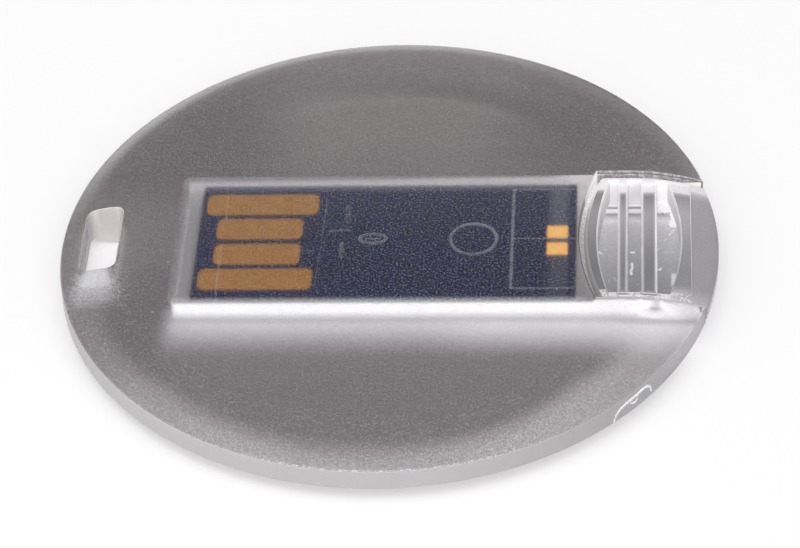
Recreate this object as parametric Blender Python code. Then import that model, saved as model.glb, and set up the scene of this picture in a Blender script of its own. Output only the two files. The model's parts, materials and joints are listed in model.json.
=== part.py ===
"""Round-card USB flash drive.

A frosted, one-piece moulded plastic disc carries a clear arm in a pocket on its
underside. The arm turns on two moulded stub pins near the disc's rim and swings
half a turn, from folded inside the disc to standing out past the rim. A chip-on-board
memory module lies in the arm's tray with its four contacts facing the disc's top web.

Frame: origin at the disc's centre at mid thickness, +X towards the hinge,
+Y across the module, +Z up, out of the contacts. The arm is folded in.
Sizes are in millimetres; finish_object turns them into metres.
"""
import math

import bmesh
import bpy

MM = 0.001
ORIGIN = (0.0, 0.0, 0.0)
SMOOTH_ANGLE = 35            # degrees; sharper edges stay sharp on the disc and the arm

# ---------------------------------------------------------------- disc
DISC_RADIUS = 20.0
DISC_HALF_THICKNESS = 1.5    # over the flat middle
FLAT_RADIUS = 15.5           # where the flat faces end and the domed border begins
DOME_RADIUS = 12.5           # radius of the domed border, in section
DISC_STEPS = 128             # facets round the disc
DOME_STEPS = 7               # facets across the domed border

SLOT_X = (-18.65, -16.40)    # keyring slot, through the disc
SLOT_Y = (-2.90, 2.75)
SLOT_CORNER = 0.60

WEB_THICKNESS = 0.60         # disc left above the pocket
POCKET_X0 = -12.75           # pocket's end away from the hinge
POCKET_HALF_WIDTH = 5.85     # pocket and notch
POCKET_TOP = DISC_HALF_THICKNESS - WEB_THICKNESS
POCKET_CORNER = 0.5
NOTCH_APEX_X = 11.58         # curved inner edge of the through notch
NOTCH_EDGE_RADIUS = 17.0
EDGE_STEPS = 16              # facets across the notch's edge and the hinge block

# how far the cutters reach past the plastic
CUT_REACH = 3.0
POCKET_CUT_REACH = 4.0
POCKET_CUT_X = 26.0

# ---------------------------------------------------------------- hinge
PIVOT = (15.9, 0.0, 0.0)     # a point on the hinge axis, which is parallel to Y
PIVOT_X = PIVOT[0]
PIN_RADIUS = 0.70
PIN_END = 6.15               # y of the pin's tip
PIN_ROUND = 0.15
PIN_ROUND_STEPS = 3
PIN_ROOT = 1.0               # length of pin sunk into the hinge block
DIMPLE_RADIUS = PIN_RADIUS + 0.08
DIMPLE_END = PIN_END + 0.13

# ---------------------------------------------------------------- swing arm
ARM_HALF_WIDTH = POCKET_HALF_WIDTH - 0.23
BLOCK_GAP = 0.30             # between the notch's curved edge and the hinge block
BLOCK_APEX_X = NOTCH_APEX_X + BLOCK_GAP
BLOCK_EDGE_RADIUS = NOTCH_EDGE_RADIUS - BLOCK_GAP
BLOCK_STEPS = 20             # facets along the block
BLOCK_TOP_DROP = 0.30        # block's top lies this far inside the disc's upper surface
BLOCK_BOTTOM_DROP = 0.08     # block's bottom lies this far inside the lower surface

RECESS_INNER_X = 12.55       # lens-shaped finger recess in the block's top
RECESS_INNER_RADIUS = 20.0
RECESS_OUTER_X = 17.70
RECESS_OUTER_RADIUS = 18.0
RECESS_HALF_WIDTH = 5.18
RECESS_STEPS = 14
RECESS_FLOOR = -0.45
RIBS_X = ((13.95, 14.48), (15.38, 16.22))   # two straight grip ribs across the recess
RIB_TOP = 0.98
RIB_TRIM_OVERLAP = 0.05      # the trimming boxes reach this far past each rib in x
RIB_TRIM_INSET = 0.002       # and stop this far short of the recess's ends in y

TRAY_X = (POCKET_X0 + 0.35, PIVOT_X - 1.4)  # free end, and root inside the hinge block
TRAY_Z = (-1.45, 0.60)
TRAY_FLOOR = -0.92
TRAY_CORNER = 0.45
TRAY_SIDE_INSET = 0.001      # keeps the bar's sides off the block's sides

# ---------------------------------------------------------------- memory module
STACK_GAP = 0.02             # clearance between pieces that lie on each other
SEAT_GAP = 0.04              # clearance round each piece buried in the epoxy
SEAT_CUT_TOP = 1.0           # the seats' cutters reach out above the epoxy

MODULE_X = (-11.62, 11.37)
MODULE_HALF_WIDTH = 5.33
MODULE_CORNER = 0.15
MODULE_GAP = 0.05            # between the module and the tray's walls
CAVITY_X = (MODULE_X[0] - MODULE_GAP, MODULE_X[1] + MODULE_GAP)
CAVITY_HALF_WIDTH = MODULE_HALF_WIDTH + MODULE_GAP

SUBSTRATE_Z = (0.27, 0.56)
EPOXY_Z = (-0.80, SUBSTRATE_Z[0] - STACK_GAP)
ADHESIVE_Z = (TRAY_FLOOR + STACK_GAP, EPOXY_Z[0] - STACK_GAP)
ADHESIVE_HALF_LENGTH = 9.0
ADHESIVE_HALF_WIDTH = 4.0
ADHESIVE_CORNER = 0.5

PAD_THICKNESS = 0.05
PAD_Z0 = SUBSTRATE_Z[1] + STACK_GAP
OUTER_CONTACT_X = (-11.35, -4.44)
INNER_CONTACT_X = (-10.57, -5.30)
OUTER_CONTACT_Y = 3.50
INNER_CONTACT_Y = 1.18
CONTACT_SHAPE = (1.92, 0.42, 4)     # width in y, corner radius, facets per corner
LED_PAD_X = (9.63, 10.89)
LED_PAD_Y = 0.78
LED_PAD_SHAPE = (1.10, 0.06, 2)

# name, x range, centre y, shape
PADS = (
    ("contact_ground", OUTER_CONTACT_X, OUTER_CONTACT_Y, CONTACT_SHAPE),
    ("contact_data_plus", INNER_CONTACT_X, INNER_CONTACT_Y, CONTACT_SHAPE),
    ("contact_data_minus", INNER_CONTACT_X, -INNER_CONTACT_Y, CONTACT_SHAPE),
    ("contact_supply", OUTER_CONTACT_X, -OUTER_CONTACT_Y, CONTACT_SHAPE),
    ("led_pad_anode", LED_PAD_X, LED_PAD_Y, LED_PAD_SHAPE),
    ("led_pad_cathode", LED_PAD_X, -LED_PAD_Y, LED_PAD_SHAPE),
)

FILM_THICKNESS = 0.05
FILM_MARGIN = 0.10           # film showing round each die

# name, name of its film, centre x, centre y, length along x, length along y, thickness
DIES = (
    ("flash_memory_die", "flash_die_attach_film", -1.2, 0.0, 10.8, 8.2, 0.25),
    ("controller_die", "controller_die_attach_film", 6.9, 1.6, 2.6, 2.4, 0.22),
)

CHIP_BEVEL = 0.03
# name, material, centre x, centre y, length along x, length along y, height
CHIPS = (
    ("capacitor_supply", "capacitor", -9.6, 3.2, 1.6, 0.8, 0.75),
    ("capacitor_flash", "capacitor", -9.0, -3.4, 1.0, 0.5, 0.50),
    ("capacitor_core", "capacitor", 6.6, -1.1, 1.0, 0.5, 0.50),
    ("capacitor_crystal_in", "capacitor", 10.3, -1.2, 0.5, 1.0, 0.50),
    ("capacitor_crystal_out", "capacitor", 10.3, -4.0, 0.5, 1.0, 0.50),
    ("resistor_data_plus", "resistor", 9.5, 1.0, 1.0, 0.5, 0.35),
    ("resistor_data_minus", "resistor", 9.5, 2.1, 1.0, 0.5, 0.35),
    ("resistor_indicator", "resistor", 9.5, 3.2, 1.0, 0.5, 0.35),
    ("clock_crystal", "crystal", 8.2, -3.2, 2.5, 2.0, 0.55),
)

# ---------------------------------------------------------------- materials
MATERIALS = {
    "frosted": dict(name="frosted_clear_plastic", colour=(0.62, 0.60, 0.60),
                    roughness=0.42, alpha=0.55, transmission=0.8),
    "clear": dict(name="clear_plastic", colour=(0.74, 0.73, 0.75),
                  roughness=0.08, alpha=0.40, transmission=0.95),
    "solder_mask": dict(name="navy_solder_mask", colour=(0.020, 0.028, 0.070), roughness=0.35),
    "gold": dict(name="gold_plating", colour=(0.72, 0.45, 0.18), roughness=0.30, metallic=1.0),
    "epoxy": dict(name="black_epoxy", colour=(0.012, 0.012, 0.013), roughness=0.55),
    "adhesive": dict(name="adhesive_film", colour=(0.60, 0.58, 0.50), roughness=0.60),
    "silicon": dict(name="silicon", colour=(0.12, 0.12, 0.14), roughness=0.18, metallic=0.6),
    "film": dict(name="die_attach_film", colour=(0.35, 0.28, 0.16), roughness=0.70),
    "capacitor": dict(name="capacitor_ceramic", colour=(0.42, 0.30, 0.18), roughness=0.50),
    "resistor": dict(name="resistor_black", colour=(0.03, 0.03, 0.03), roughness=0.45),
    "crystal": dict(name="crystal_lid", colour=(0.55, 0.54, 0.50), roughness=0.30, metallic=1.0),
}


def make_material(name, colour, roughness, metallic=0.0, alpha=1.0, transmission=0.0):
    material = bpy.data.materials.new(name)
    material.use_nodes = True
    inputs = material.node_tree.nodes["Principled BSDF"].inputs
    inputs["Base Color"].default_value = (*colour, 1.0)
    inputs["Roughness"].default_value = roughness
    inputs["Metallic"].default_value = metallic
    inputs["Alpha"].default_value = alpha
    inputs["Transmission Weight"].default_value = transmission
    return material


# ---------------------------------------------------------------- objects
def clear_scene():
    for obj in list(bpy.data.objects):
        bpy.data.objects.remove(obj, do_unlink=True)


def finish_object(name, shape, material=None, pivot=ORIGIN, smooth=False):
    """Turns a bmesh drawn in millimetres into an object whose origin is at pivot."""
    bmesh.ops.translate(shape, verts=shape.verts, vec=[-c for c in pivot])
    bmesh.ops.scale(shape, verts=shape.verts, vec=(MM, MM, MM))
    bmesh.ops.recalc_face_normals(shape, faces=shape.faces)
    mesh = bpy.data.meshes.new(name)
    shape.to_mesh(mesh)
    shape.free()
    if smooth:
        mesh.shade_smooth()
        mesh.set_sharp_from_angle(angle=math.radians(SMOOTH_ANGLE))
    if material is not None:
        mesh.materials.append(material)
    obj = bpy.data.objects.new(name, mesh)
    obj.location = [c * MM for c in pivot]
    bpy.context.scene.collection.objects.link(obj)
    return obj


def apply_shape(target, name, shape, operation='DIFFERENCE', pivot=ORIGIN):
    """Makes a hidden helper from the shape and cuts it from, or joins it to, the target."""
    helper = finish_object(name, shape, pivot=pivot)
    helper.hide_render = True
    helper.display_type = 'WIRE'
    modifier = target.modifiers.new(operation.lower() + "_" + name, 'BOOLEAN')
    modifier.operation = operation
    modifier.object = helper
    modifier.solver = 'EXACT'


# ---------------------------------------------------------------- shapes
def spaced(start, end, steps):
    return [start + (end - start) * k / steps for k in range(steps + 1)]


def circle(radius, steps):
    angles = [2 * math.pi * k / steps for k in range(steps)]
    return [(radius * math.cos(angle), radius * math.sin(angle)) for angle in angles]


def arc_points(apex_x, radius, half_width, steps, bulge):
    """Arc from -Y to +Y, bulging towards +X (bulge 1) or -X (bulge -1)."""
    return [(apex_x - bulge * (radius - math.sqrt(radius ** 2 - y ** 2)), y)
            for y in spaced(-half_width, half_width, steps)]


def rounded_rectangle(x0, x1, y0, y1, radius, steps=5):
    """Counter-clockwise outline, from the -Y end of the +X side."""
    corners = (
        (x1 - radius, y0 + radius, -90),
        (x1 - radius, y1 - radius, 0),
        (x0 + radius, y1 - radius, 90),
        (x0 + radius, y0 + radius, 180),
    )
    points = []
    for x, y, start in corners:
        for k in range(steps + 1):
            angle = math.radians(start + 90.0 * k / steps)
            points.append((x + radius * math.cos(angle), y + radius * math.sin(angle)))
    return points


def loft(rings):
    """Closed solid through rings of equally many points."""
    shape = bmesh.new()
    loops = [[shape.verts.new(point) for point in ring] for ring in rings]
    count = len(loops[0])
    for lower, upper in zip(loops, loops[1:]):
        for k in range(count):
            after = (k + 1) % count
            shape.faces.new((lower[k], lower[after], upper[after], upper[k]))
    shape.faces.new(list(reversed(loops[0])))
    shape.faces.new(loops[-1])
    return shape


def prism(outline, z0, z1):
    return loft([[(x, y, z) for x, y in outline] for z in (z0, z1)])


def box(x0, x1, y0, y1, z0, z1):
    return prism([(x0, y0), (x1, y0), (x1, y1), (x0, y1)], z0, z1)


def hinge_cylinder(radius, y0, y1, rounding=0.0, steps=24):
    """Cylinder on the hinge axis, with optionally rounded end edges."""
    insets = [(0.0, 0.0)]      # along y and in radius, from the side wall to the end face
    if rounding > 0:
        angles = [math.radians(90 * k / PIN_ROUND_STEPS) for k in range(PIN_ROUND_STEPS + 1)]
        insets = [(rounding * (1 - math.sin(angle)), rounding * (1 - math.cos(angle)))
                  for angle in angles]
    stations = [(y0 + along, radius - inward) for along, inward in reversed(insets)]
    stations += [(y1 - along, radius - inward) for along, inward in insets]
    return loft([[(PIVOT_X + x, y, z) for x, z in circle(ring_radius, steps)]
                 for y, ring_radius in stations])


def surface_height(radius):
    """Height of the disc's upper surface above mid thickness."""
    if radius <= FLAT_RADIUS:
        return DISC_HALF_THICKNESS
    fall = DOME_RADIUS - math.sqrt(DOME_RADIUS ** 2 - (radius - FLAT_RADIUS) ** 2)
    return DISC_HALF_THICKNESS - fall


# ---------------------------------------------------------------- disc
def disc_shape():
    upper = [(r, surface_height(r)) for r in spaced(FLAT_RADIUS, DISC_RADIUS, DOME_STEPS)]
    profile = [(radius, -z) for radius, z in upper] + upper[::-1]
    return loft([[(x, y, z) for x, y in circle(radius, DISC_STEPS)] for radius, z in profile])


def pocket_and_notch_shape():
    """One cutter: the pocket stops under the web, the notch goes right through."""
    shape = bmesh.new()

    def add_points(points, z):
        return [shape.verts.new((x, y, z)) for x, y in points]

    half = POCKET_HALF_WIDTH
    reach = POCKET_CUT_REACH
    outline = rounded_rectangle(POCKET_X0, POCKET_CUT_X, -half, half, POCKET_CORNER, steps=4)
    pocket_end = [(x, y) for x, y in outline if x < 0]      # runs from +Y round to -Y
    notch_edge = arc_points(NOTCH_APEX_X, NOTCH_EDGE_RADIUS, half, EDGE_STEPS, bulge=-1)
    far_edge = [(POCKET_CUT_X, -half), (POCKET_CUT_X, half)]
    end_low = add_points(pocket_end, -reach)
    end_top = add_points(pocket_end, POCKET_TOP)
    edge_low = add_points(notch_edge, POCKET_TOP)
    edge_top = add_points(notch_edge, reach)
    far_low = add_points(far_edge, -reach)
    far_top = add_points(far_edge, reach)

    for low, top in ((end_low, end_top), (edge_low, edge_top)):
        for k in range(len(low) - 1):
            shape.faces.new((low[k], low[k + 1], top[k + 1], top[k]))
    shape.faces.new(end_top + edge_low)                                 # pocket's ceiling
    shape.faces.new(edge_top + [far_top[1], far_top[0]])                # top
    shape.faces.new([end_low[-1], far_low[0], far_low[1]] + end_low[:-1])   # bottom
    shape.faces.new((end_low[-1], far_low[0], far_top[0],
                     edge_top[0], edge_low[0], end_top[-1]))            # -Y side
    shape.faces.new((end_low[0], end_top[0], edge_low[-1],
                     edge_top[-1], far_top[1], far_low[1]))             # +Y side
    shape.faces.new((far_low[0], far_low[1], far_top[1], far_top[0]))   # +X end
    return shape


def build_disc(material):
    disc = finish_object("disc_body", disc_shape(), material, smooth=True)
    slot = prism(rounded_rectangle(*SLOT_X, *SLOT_Y, SLOT_CORNER), -CUT_REACH, CUT_REACH)
    apply_shape(disc, "cut_keyring_slot", slot)
    apply_shape(disc, "cut_pocket_and_notch", pocket_and_notch_shape())
    # one cylinder across the notch makes a blind dimple in each of its walls
    dimples = hinge_cylinder(DIMPLE_RADIUS, -DIMPLE_END, DIMPLE_END)
    apply_shape(disc, "cut_pin_dimples", dimples)


# ---------------------------------------------------------------- swing arm
def hinge_block_shape():
    """Block that fills the notch, its outer end on the disc's rim."""
    shape = bmesh.new()
    top, low = [], []
    inner_edge = arc_points(BLOCK_APEX_X, BLOCK_EDGE_RADIUS, ARM_HALF_WIDTH, EDGE_STEPS, bulge=-1)
    for inner_x, y in inner_edge:
        rim_x = math.sqrt(DISC_RADIUS ** 2 - y * y)
        top_row, low_row = [], []
        for x in spaced(inner_x, rim_x, BLOCK_STEPS):
            z = surface_height(min(math.hypot(x, y), DISC_RADIUS))
            top_row.append(shape.verts.new((x, y, z - BLOCK_TOP_DROP)))
            low_row.append(shape.verts.new((x, y, -(z - BLOCK_BOTTOM_DROP))))
        top.append(top_row)
        low.append(low_row)
    for j in range(EDGE_STEPS):
        for i in range(BLOCK_STEPS):
            shape.faces.new((top[j][i], top[j][i + 1], top[j + 1][i + 1], top[j + 1][i]))
            shape.faces.new((low[j][i], low[j + 1][i], low[j + 1][i + 1], low[j][i + 1]))
        shape.faces.new((top[j][0], top[j + 1][0], low[j + 1][0], low[j][0]))
        shape.faces.new((top[j][-1], low[j][-1], low[j + 1][-1], top[j + 1][-1]))
    shape.faces.new(low[0] + top[0][::-1])
    shape.faces.new(top[-1] + low[-1][::-1])
    return shape


def add_tray(arm):
    """Solid bar joined to the hinge block, then hollowed for the module."""
    half = ARM_HALF_WIDTH - TRAY_SIDE_INSET
    bar = prism(rounded_rectangle(*TRAY_X, -half, half, TRAY_CORNER, steps=4), *TRAY_Z)
    apply_shape(arm, "add_tray_bar", bar, 'UNION', PIVOT)
    cavity = box(*CAVITY_X, -CAVITY_HALF_WIDTH, CAVITY_HALF_WIDTH, TRAY_FLOOR, CUT_REACH)
    apply_shape(arm, "cut_tray_cavity", cavity, pivot=PIVOT)


def add_pins(arm):
    """Stub pins at +Y and -Y, each turning in a dimple of the notch's wall."""
    root = ARM_HALF_WIDTH - PIN_ROOT
    for name, y0, y1 in (("add_pin_far", root, PIN_END), ("add_pin_near", -PIN_END, -root)):
        pin = hinge_cylinder(PIN_RADIUS, y0, y1, rounding=PIN_ROUND)
        apply_shape(arm, name, pin, 'UNION', PIVOT)


def cut_finger_recess(arm):
    """Three wells that leave two ribs, then the ribs are lowered."""
    half = RECESS_HALF_WIDTH
    inner = arc_points(RECESS_INNER_X, RECESS_INNER_RADIUS, half, RECESS_STEPS, bulge=-1)
    outer = arc_points(RECESS_OUTER_X, RECESS_OUTER_RADIUS, half, RECESS_STEPS, bulge=1)
    (rib1_x0, rib1_x1), (rib2_x0, rib2_x1) = RIBS_X
    wells = (
        ("cut_well_inner", [(rib1_x0, -half), (rib1_x0, half)] + inner[::-1]),
        ("cut_well_middle",
         [(rib1_x1, -half), (rib2_x0, -half), (rib2_x0, half), (rib1_x1, half)]),
        ("cut_well_outer", [(rib2_x1, -half)] + outer + [(rib2_x1, half)]),
    )
    for name, outline in wells:
        apply_shape(arm, name, prism(outline, RECESS_FLOOR, CUT_REACH), pivot=PIVOT)
    trim_half = half - RIB_TRIM_INSET
    for number, (x0, x1) in enumerate(RIBS_X, start=1):
        trim = box(x0 - RIB_TRIM_OVERLAP, x1 + RIB_TRIM_OVERLAP,
                   -trim_half, trim_half, RIB_TOP, CUT_REACH)
        apply_shape(arm, "cut_rib_top_%d" % number, trim, pivot=PIVOT)


def build_arm(material):
    arm = finish_object("swing_arm", hinge_block_shape(), material, pivot=PIVOT, smooth=True)
    add_tray(arm)
    add_pins(arm)
    cut_finger_recess(arm)


# ---------------------------------------------------------------- memory module
def footprint(x, y, length_x, length_y, margin=0.0):
    """x0, x1, y0, y1 of a rectangle centred on x, y and grown by margin on every side."""
    half_x = length_x / 2 + margin
    half_y = length_y / 2 + margin
    return x - half_x, x + half_x, y - half_y, y + half_y


def build_buried_box(name, area, z0, z1, material, bevel=0.0):
    shape = box(*area, z0, z1)
    if bevel > 0:
        bmesh.ops.bevel(shape, geom=list(shape.edges), offset=bevel,
                        segments=1, profile=0.5, affect='EDGES')
    x0, x1, y0, y1 = area
    centre = ((x0 + x1) / 2, (y0 + y1) / 2, (z0 + z1) / 2)
    finish_object(name, shape, material, pivot=centre)


def cut_seat(epoxy, name, area, z0):
    x0, x1, y0, y1 = area
    seat = box(x0 - SEAT_GAP, x1 + SEAT_GAP, y0 - SEAT_GAP, y1 + SEAT_GAP,
               z0 - SEAT_GAP, SEAT_CUT_TOP)
    apply_shape(epoxy, "cut_seat_" + name, seat)


def build_dies(epoxy, materials):
    """Each die hangs under its film, and one seat in the epoxy holds both."""
    top = EPOXY_Z[1]
    film_bottom = top - FILM_THICKNESS
    die_top = film_bottom - STACK_GAP
    for name, film_name, x, y, length_x, length_y, thickness in DIES:
        film_area = footprint(x, y, length_x, length_y, margin=FILM_MARGIN)
        die_area = footprint(x, y, length_x, length_y)
        die_bottom = die_top - thickness
        build_buried_box(film_name, film_area, film_bottom, top, materials["film"])
        build_buried_box(name, die_area, die_bottom, die_top, materials["silicon"])
        cut_seat(epoxy, name, film_area, die_bottom)


def build_chips(epoxy, materials):
    top = EPOXY_Z[1]
    for name, material_key, x, y, length_x, length_y, height in CHIPS:
        area = footprint(x, y, length_x, length_y)
        build_buried_box(name, area, top - height, top, materials[material_key], CHIP_BEVEL)
        cut_seat(epoxy, name, area, top - height)


def build_pads(material):
    """Contacts and LED pads, on top of the substrate."""
    for name, (x0, x1), y, (width, corner, steps) in PADS:
        outline = rounded_rectangle(x0, x1, y - width / 2, y + width / 2, corner, steps)
        pad = prism(outline, PAD_Z0, PAD_Z0 + PAD_THICKNESS)
        finish_object(name, pad, material, pivot=((x0 + x1) / 2, y, PAD_Z0))


def build_module(materials):
    outline = rounded_rectangle(*MODULE_X, -MODULE_HALF_WIDTH, MODULE_HALF_WIDTH,
                                MODULE_CORNER, steps=3)
    finish_object("module_substrate", prism(outline, *SUBSTRATE_Z), materials["solder_mask"])
    adhesive = rounded_rectangle(-ADHESIVE_HALF_LENGTH, ADHESIVE_HALF_LENGTH,
                                 -ADHESIVE_HALF_WIDTH, ADHESIVE_HALF_WIDTH, ADHESIVE_CORNER)
    finish_object("adhesive_pad", prism(adhesive, *ADHESIVE_Z), materials["adhesive"])
    epoxy = finish_object("epoxy_encapsulant", prism(outline, *EPOXY_Z), materials["epoxy"])
    build_dies(epoxy, materials)
    build_chips(epoxy, materials)
    build_pads(materials["gold"])


def hang_on_hinge(objects):
    """Parents the objects to one empty on the hinge axis, leaving them in place."""
    hinge = bpy.data.objects.new("hinge_axis", None)
    hinge.location = [c * MM for c in PIVOT]
    bpy.context.scene.collection.objects.link(hinge)
    bpy.context.view_layer.update()
    for obj in objects:
        obj.parent = hinge
        obj.matrix_parent_inverse = hinge.matrix_world.inverted()


def main():
    clear_scene()
    materials = {key: make_material(**settings) for key, settings in MATERIALS.items()}
    build_disc(materials["frosted"])
    fixed = set(bpy.data.objects)      # the disc and its cutters stay put
    build_arm(materials["clear"])
    build_module(materials)
    hang_on_hinge([obj for obj in bpy.data.objects if obj not in fixed])


main()
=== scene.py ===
"""Looks for the round-card USB flash drive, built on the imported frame.

The disc lies flat, centred on the origin, with its faces at +TOP and -TOP. A slot pierces it near
its left edge (-x). The arm lies in a pocket that is open below and turns on a pivot along y, near
the right edge (+x). The viewer looks from above and from -y, so "near" is -y and "far" is +y.
Shapes are drawn in millimetres and scaled to metres as each object is made.
"""
import json
import math
from functools import cached_property, reduce

import bmesh
import bpy
from mathutils import Matrix, Vector


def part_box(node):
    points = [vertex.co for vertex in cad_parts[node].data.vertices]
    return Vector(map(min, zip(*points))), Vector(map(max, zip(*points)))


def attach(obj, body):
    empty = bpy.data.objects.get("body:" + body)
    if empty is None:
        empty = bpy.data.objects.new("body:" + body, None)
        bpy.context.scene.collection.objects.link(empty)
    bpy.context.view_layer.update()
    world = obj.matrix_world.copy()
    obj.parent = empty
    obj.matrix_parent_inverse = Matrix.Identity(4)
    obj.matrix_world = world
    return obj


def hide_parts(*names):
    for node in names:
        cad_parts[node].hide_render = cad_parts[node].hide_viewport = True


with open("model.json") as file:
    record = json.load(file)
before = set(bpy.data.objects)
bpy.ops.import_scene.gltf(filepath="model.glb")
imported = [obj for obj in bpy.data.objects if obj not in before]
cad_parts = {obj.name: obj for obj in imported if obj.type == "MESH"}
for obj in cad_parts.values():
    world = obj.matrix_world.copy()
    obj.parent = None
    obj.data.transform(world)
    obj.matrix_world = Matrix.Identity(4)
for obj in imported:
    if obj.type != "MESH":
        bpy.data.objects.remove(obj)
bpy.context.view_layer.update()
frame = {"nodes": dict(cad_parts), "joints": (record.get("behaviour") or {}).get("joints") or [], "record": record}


MM = 0.001

# ------------------------------------------------------------------ sizes, mm
disc_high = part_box("disc_body")[1]
DISC_R = disc_high.y / MM
TOP = disc_high.z / MM
PIVOT_X = frame["joints"][0]["pos_m"][0] / MM

FLAT_R, DOME_R = 15.5, 12.5          # flat part of a face; radius of the arc from there to the rim
EDGE_BREAK = 0.07                    # chamfer on the disc's openings

SLOT_X0, SLOT_X1, SLOT_Y0, SLOT_Y1 = -18.65, -16.40, -2.90, 2.75
SLOT_CORNER = 0.60
PARTING_LINES = ((0.42, 0.62), (0.00, 0.20))   # bottom and top of each line
PARTING_Y0, PARTING_Y1 = -2.2, 2.0

POCKET_X0, POCKET_W, POCKET_TOP = -12.97, 5.85, 0.90   # POCKET_W is the half width
OPEN_X, RUN_X1 = 22.0, 21.0          # cutters end beyond the rim; their fine steps end at RUN_X1
NOTCH_APEX, NOTCH_R = 11.58, 17.0    # left side of the notch over the hinge block

ARM_W = 5.62                         # half width
BLOCK_APEX, BLOCK_R = 11.88, 16.7    # left side of the hinge block
BLOCK_CHAMFER, STEP_X = 0.08, 18.33
TRAY_X0, TRAY_TOP, TRAY_BOTTOM, TRAY_FLOOR = -12.40, 0.60, -1.45, -0.92
WELL_Y0, WELL_Y1, WELL_FLOOR = -5.03, 5.18, -0.45
RIBS = ((13.88, 14.55), (15.30, 16.30))        # left and right side of each rib
RIB_TOP = 0.98


def height(radius):
    """Height of the disc's upper face at a radius."""
    if radius <= FLAT_R:
        return TOP
    return TOP - (DOME_R - math.sqrt(DOME_R ** 2 - (min(radius, DISC_R) - FLAT_R) ** 2))


def height_at(x, y):
    return height(math.hypot(x, y))


def arc_left(apex, radius, y):
    """x of an arc whose leftmost point is at apex."""
    return apex + radius - math.sqrt(radius ** 2 - y * y)


def arc_right(apex, radius, y):
    """x of an arc whose rightmost point is at apex."""
    return apex - radius + math.sqrt(radius ** 2 - y * y)


def spaced(start, end, steps):
    return [start + (end - start) * k / steps for k in range(steps + 1)]


# ------------------------------------------------------------------ mesh tools
def new_object(name, bm):
    """Turns a mesh drawn in mm into an object."""
    bmesh.ops.scale(bm, verts=bm.verts, vec=(MM, MM, MM))
    bmesh.ops.recalc_face_normals(bm, faces=bm.faces)
    mesh = bpy.data.meshes.new(name)
    bm.to_mesh(mesh)
    bm.free()
    obj = bpy.data.objects.new(name, mesh)
    bpy.context.scene.collection.objects.link(obj)
    return obj


def add_loops(bm, rings):
    return [[bm.verts.new(point) for point in ring] for ring in rings]


def bridge(bm, loops, turned=False):
    """Quads between neighbouring closed loops; turned winds them the other way."""
    for low, high in zip(loops, loops[1:]):
        for i in range(len(low)):
            j = (i + 1) % len(low)
            if turned:
                bm.faces.new((low[i], high[i], high[j], low[j]))
            else:
                bm.faces.new((low[i], low[j], high[j], high[i]))


def loft(rings, turned=False):
    """Closed solid through rings of points."""
    bm = bmesh.new()
    loops = add_loops(bm, rings)
    bridge(bm, loops, turned)
    first, last = loops[0], loops[-1]
    for end in ((first, last[::-1]) if turned else (first[::-1], last)):
        bm.faces.new(end)
    return bm


def rounded(x0, x1, y0, y1, radius, steps=8):
    """Rectangle with round corners, counter-clockwise."""
    corners = (
        (x1 - radius, y0 + radius, -90),
        (x1 - radius, y1 - radius, 0),
        (x0 + radius, y1 - radius, 90),
        (x0 + radius, y0 + radius, 180),
    )
    points = []
    for x, y, start in corners:
        for k in range(steps + 1):
            angle = math.radians(start + 90.0 * k / steps)
            points.append((x + radius * math.cos(angle), y + radius * math.sin(angle)))
    return points


def box(x0, x1, y0, y1, z0, z1):
    corners = ((x0, y0), (x1, y0), (x1, y1), (x0, y1))
    return loft([[(x, y, z) for x, y in corners] for z in (z0, z1)])


def oval(x, y, radius_x, radius_y, steps=48):
    angles = [2 * math.pi * k / steps for k in range(steps)]
    return [(x + radius_x * math.cos(a), y + radius_y * math.sin(a)) for a in angles]


def oval_ring(x, y, radius_x, radius_y, width, z0, z1):
    """Closed oval band; the radii reach to the middle of its width."""
    bm = bmesh.new()
    half = width / 2
    section = ((half, z0), (half, z1), (-half, z1), (-half, z0))
    loops = add_loops(bm, [
        [(px, py, z) for px, py in oval(x, y, radius_x + grow, radius_y + grow)]
        for grow, z in section])
    bridge(bm, loops + loops[:1])
    return bm


def pivot_cylinder(radius, y0, y1, rounding=0.0):
    """Cylinder on the pivot axis, with rounded ends if asked."""
    if rounding > 0:
        angles = [math.radians(90 * k / 5) for k in range(6)]
        arc = [(rounding * (1 - math.sin(a)), rounding * (1 - math.cos(a))) for a in angles]
        stations = [(y0 + along, radius - inward) for along, inward in reversed(arc)]
        stations += [(y1 - along, radius - inward) for along, inward in arc]
    else:
        stations = [(y0, radius), (y1, radius)]
    return loft([[(x, y, z) for x, z in oval(PIVOT_X, 0, r, r)] for y, r in stations])


def offset_out(outline, distance):
    """A counter-clockwise outline grown outward, with square mitres."""
    count = len(outline)
    grown = []
    for i in range(count):
        point = Vector(outline[i])
        before = (point - Vector(outline[i - 1])).normalized()
        after = (Vector(outline[(i + 1) % count]) - point).normalized()
        normal_in, normal_out = Vector((before.y, -before.x)), Vector((after.y, -after.x))
        mitre = (normal_in + normal_out) / max(0.4, 1.0 + normal_in.dot(normal_out))
        grown.append((point.x + mitre.x * distance, point.y + mitre.y * distance))
    return grown


def flared(outline, levels):
    """Solid through levels of (grow, heights): heights is one z or a list, one per point."""
    rings = []
    for grow, heights in levels:
        points = offset_out(outline, grow) if grow else outline
        if not isinstance(heights, list):
            heights = [heights] * len(points)
        rings.append([(x, y, z) for (x, y), z in zip(points, heights)])
    return loft(rings)


def cut(obj, name, bm, operation="DIFFERENCE"):
    """Makes a cutter from bm and sets a boolean on obj with it."""
    cutter = new_object(name, bm)
    modifier = obj.modifiers.new(cutter.name, "BOOLEAN")
    modifier.operation = operation
    modifier.object = cutter
    modifier.solver = "EXACT"


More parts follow.
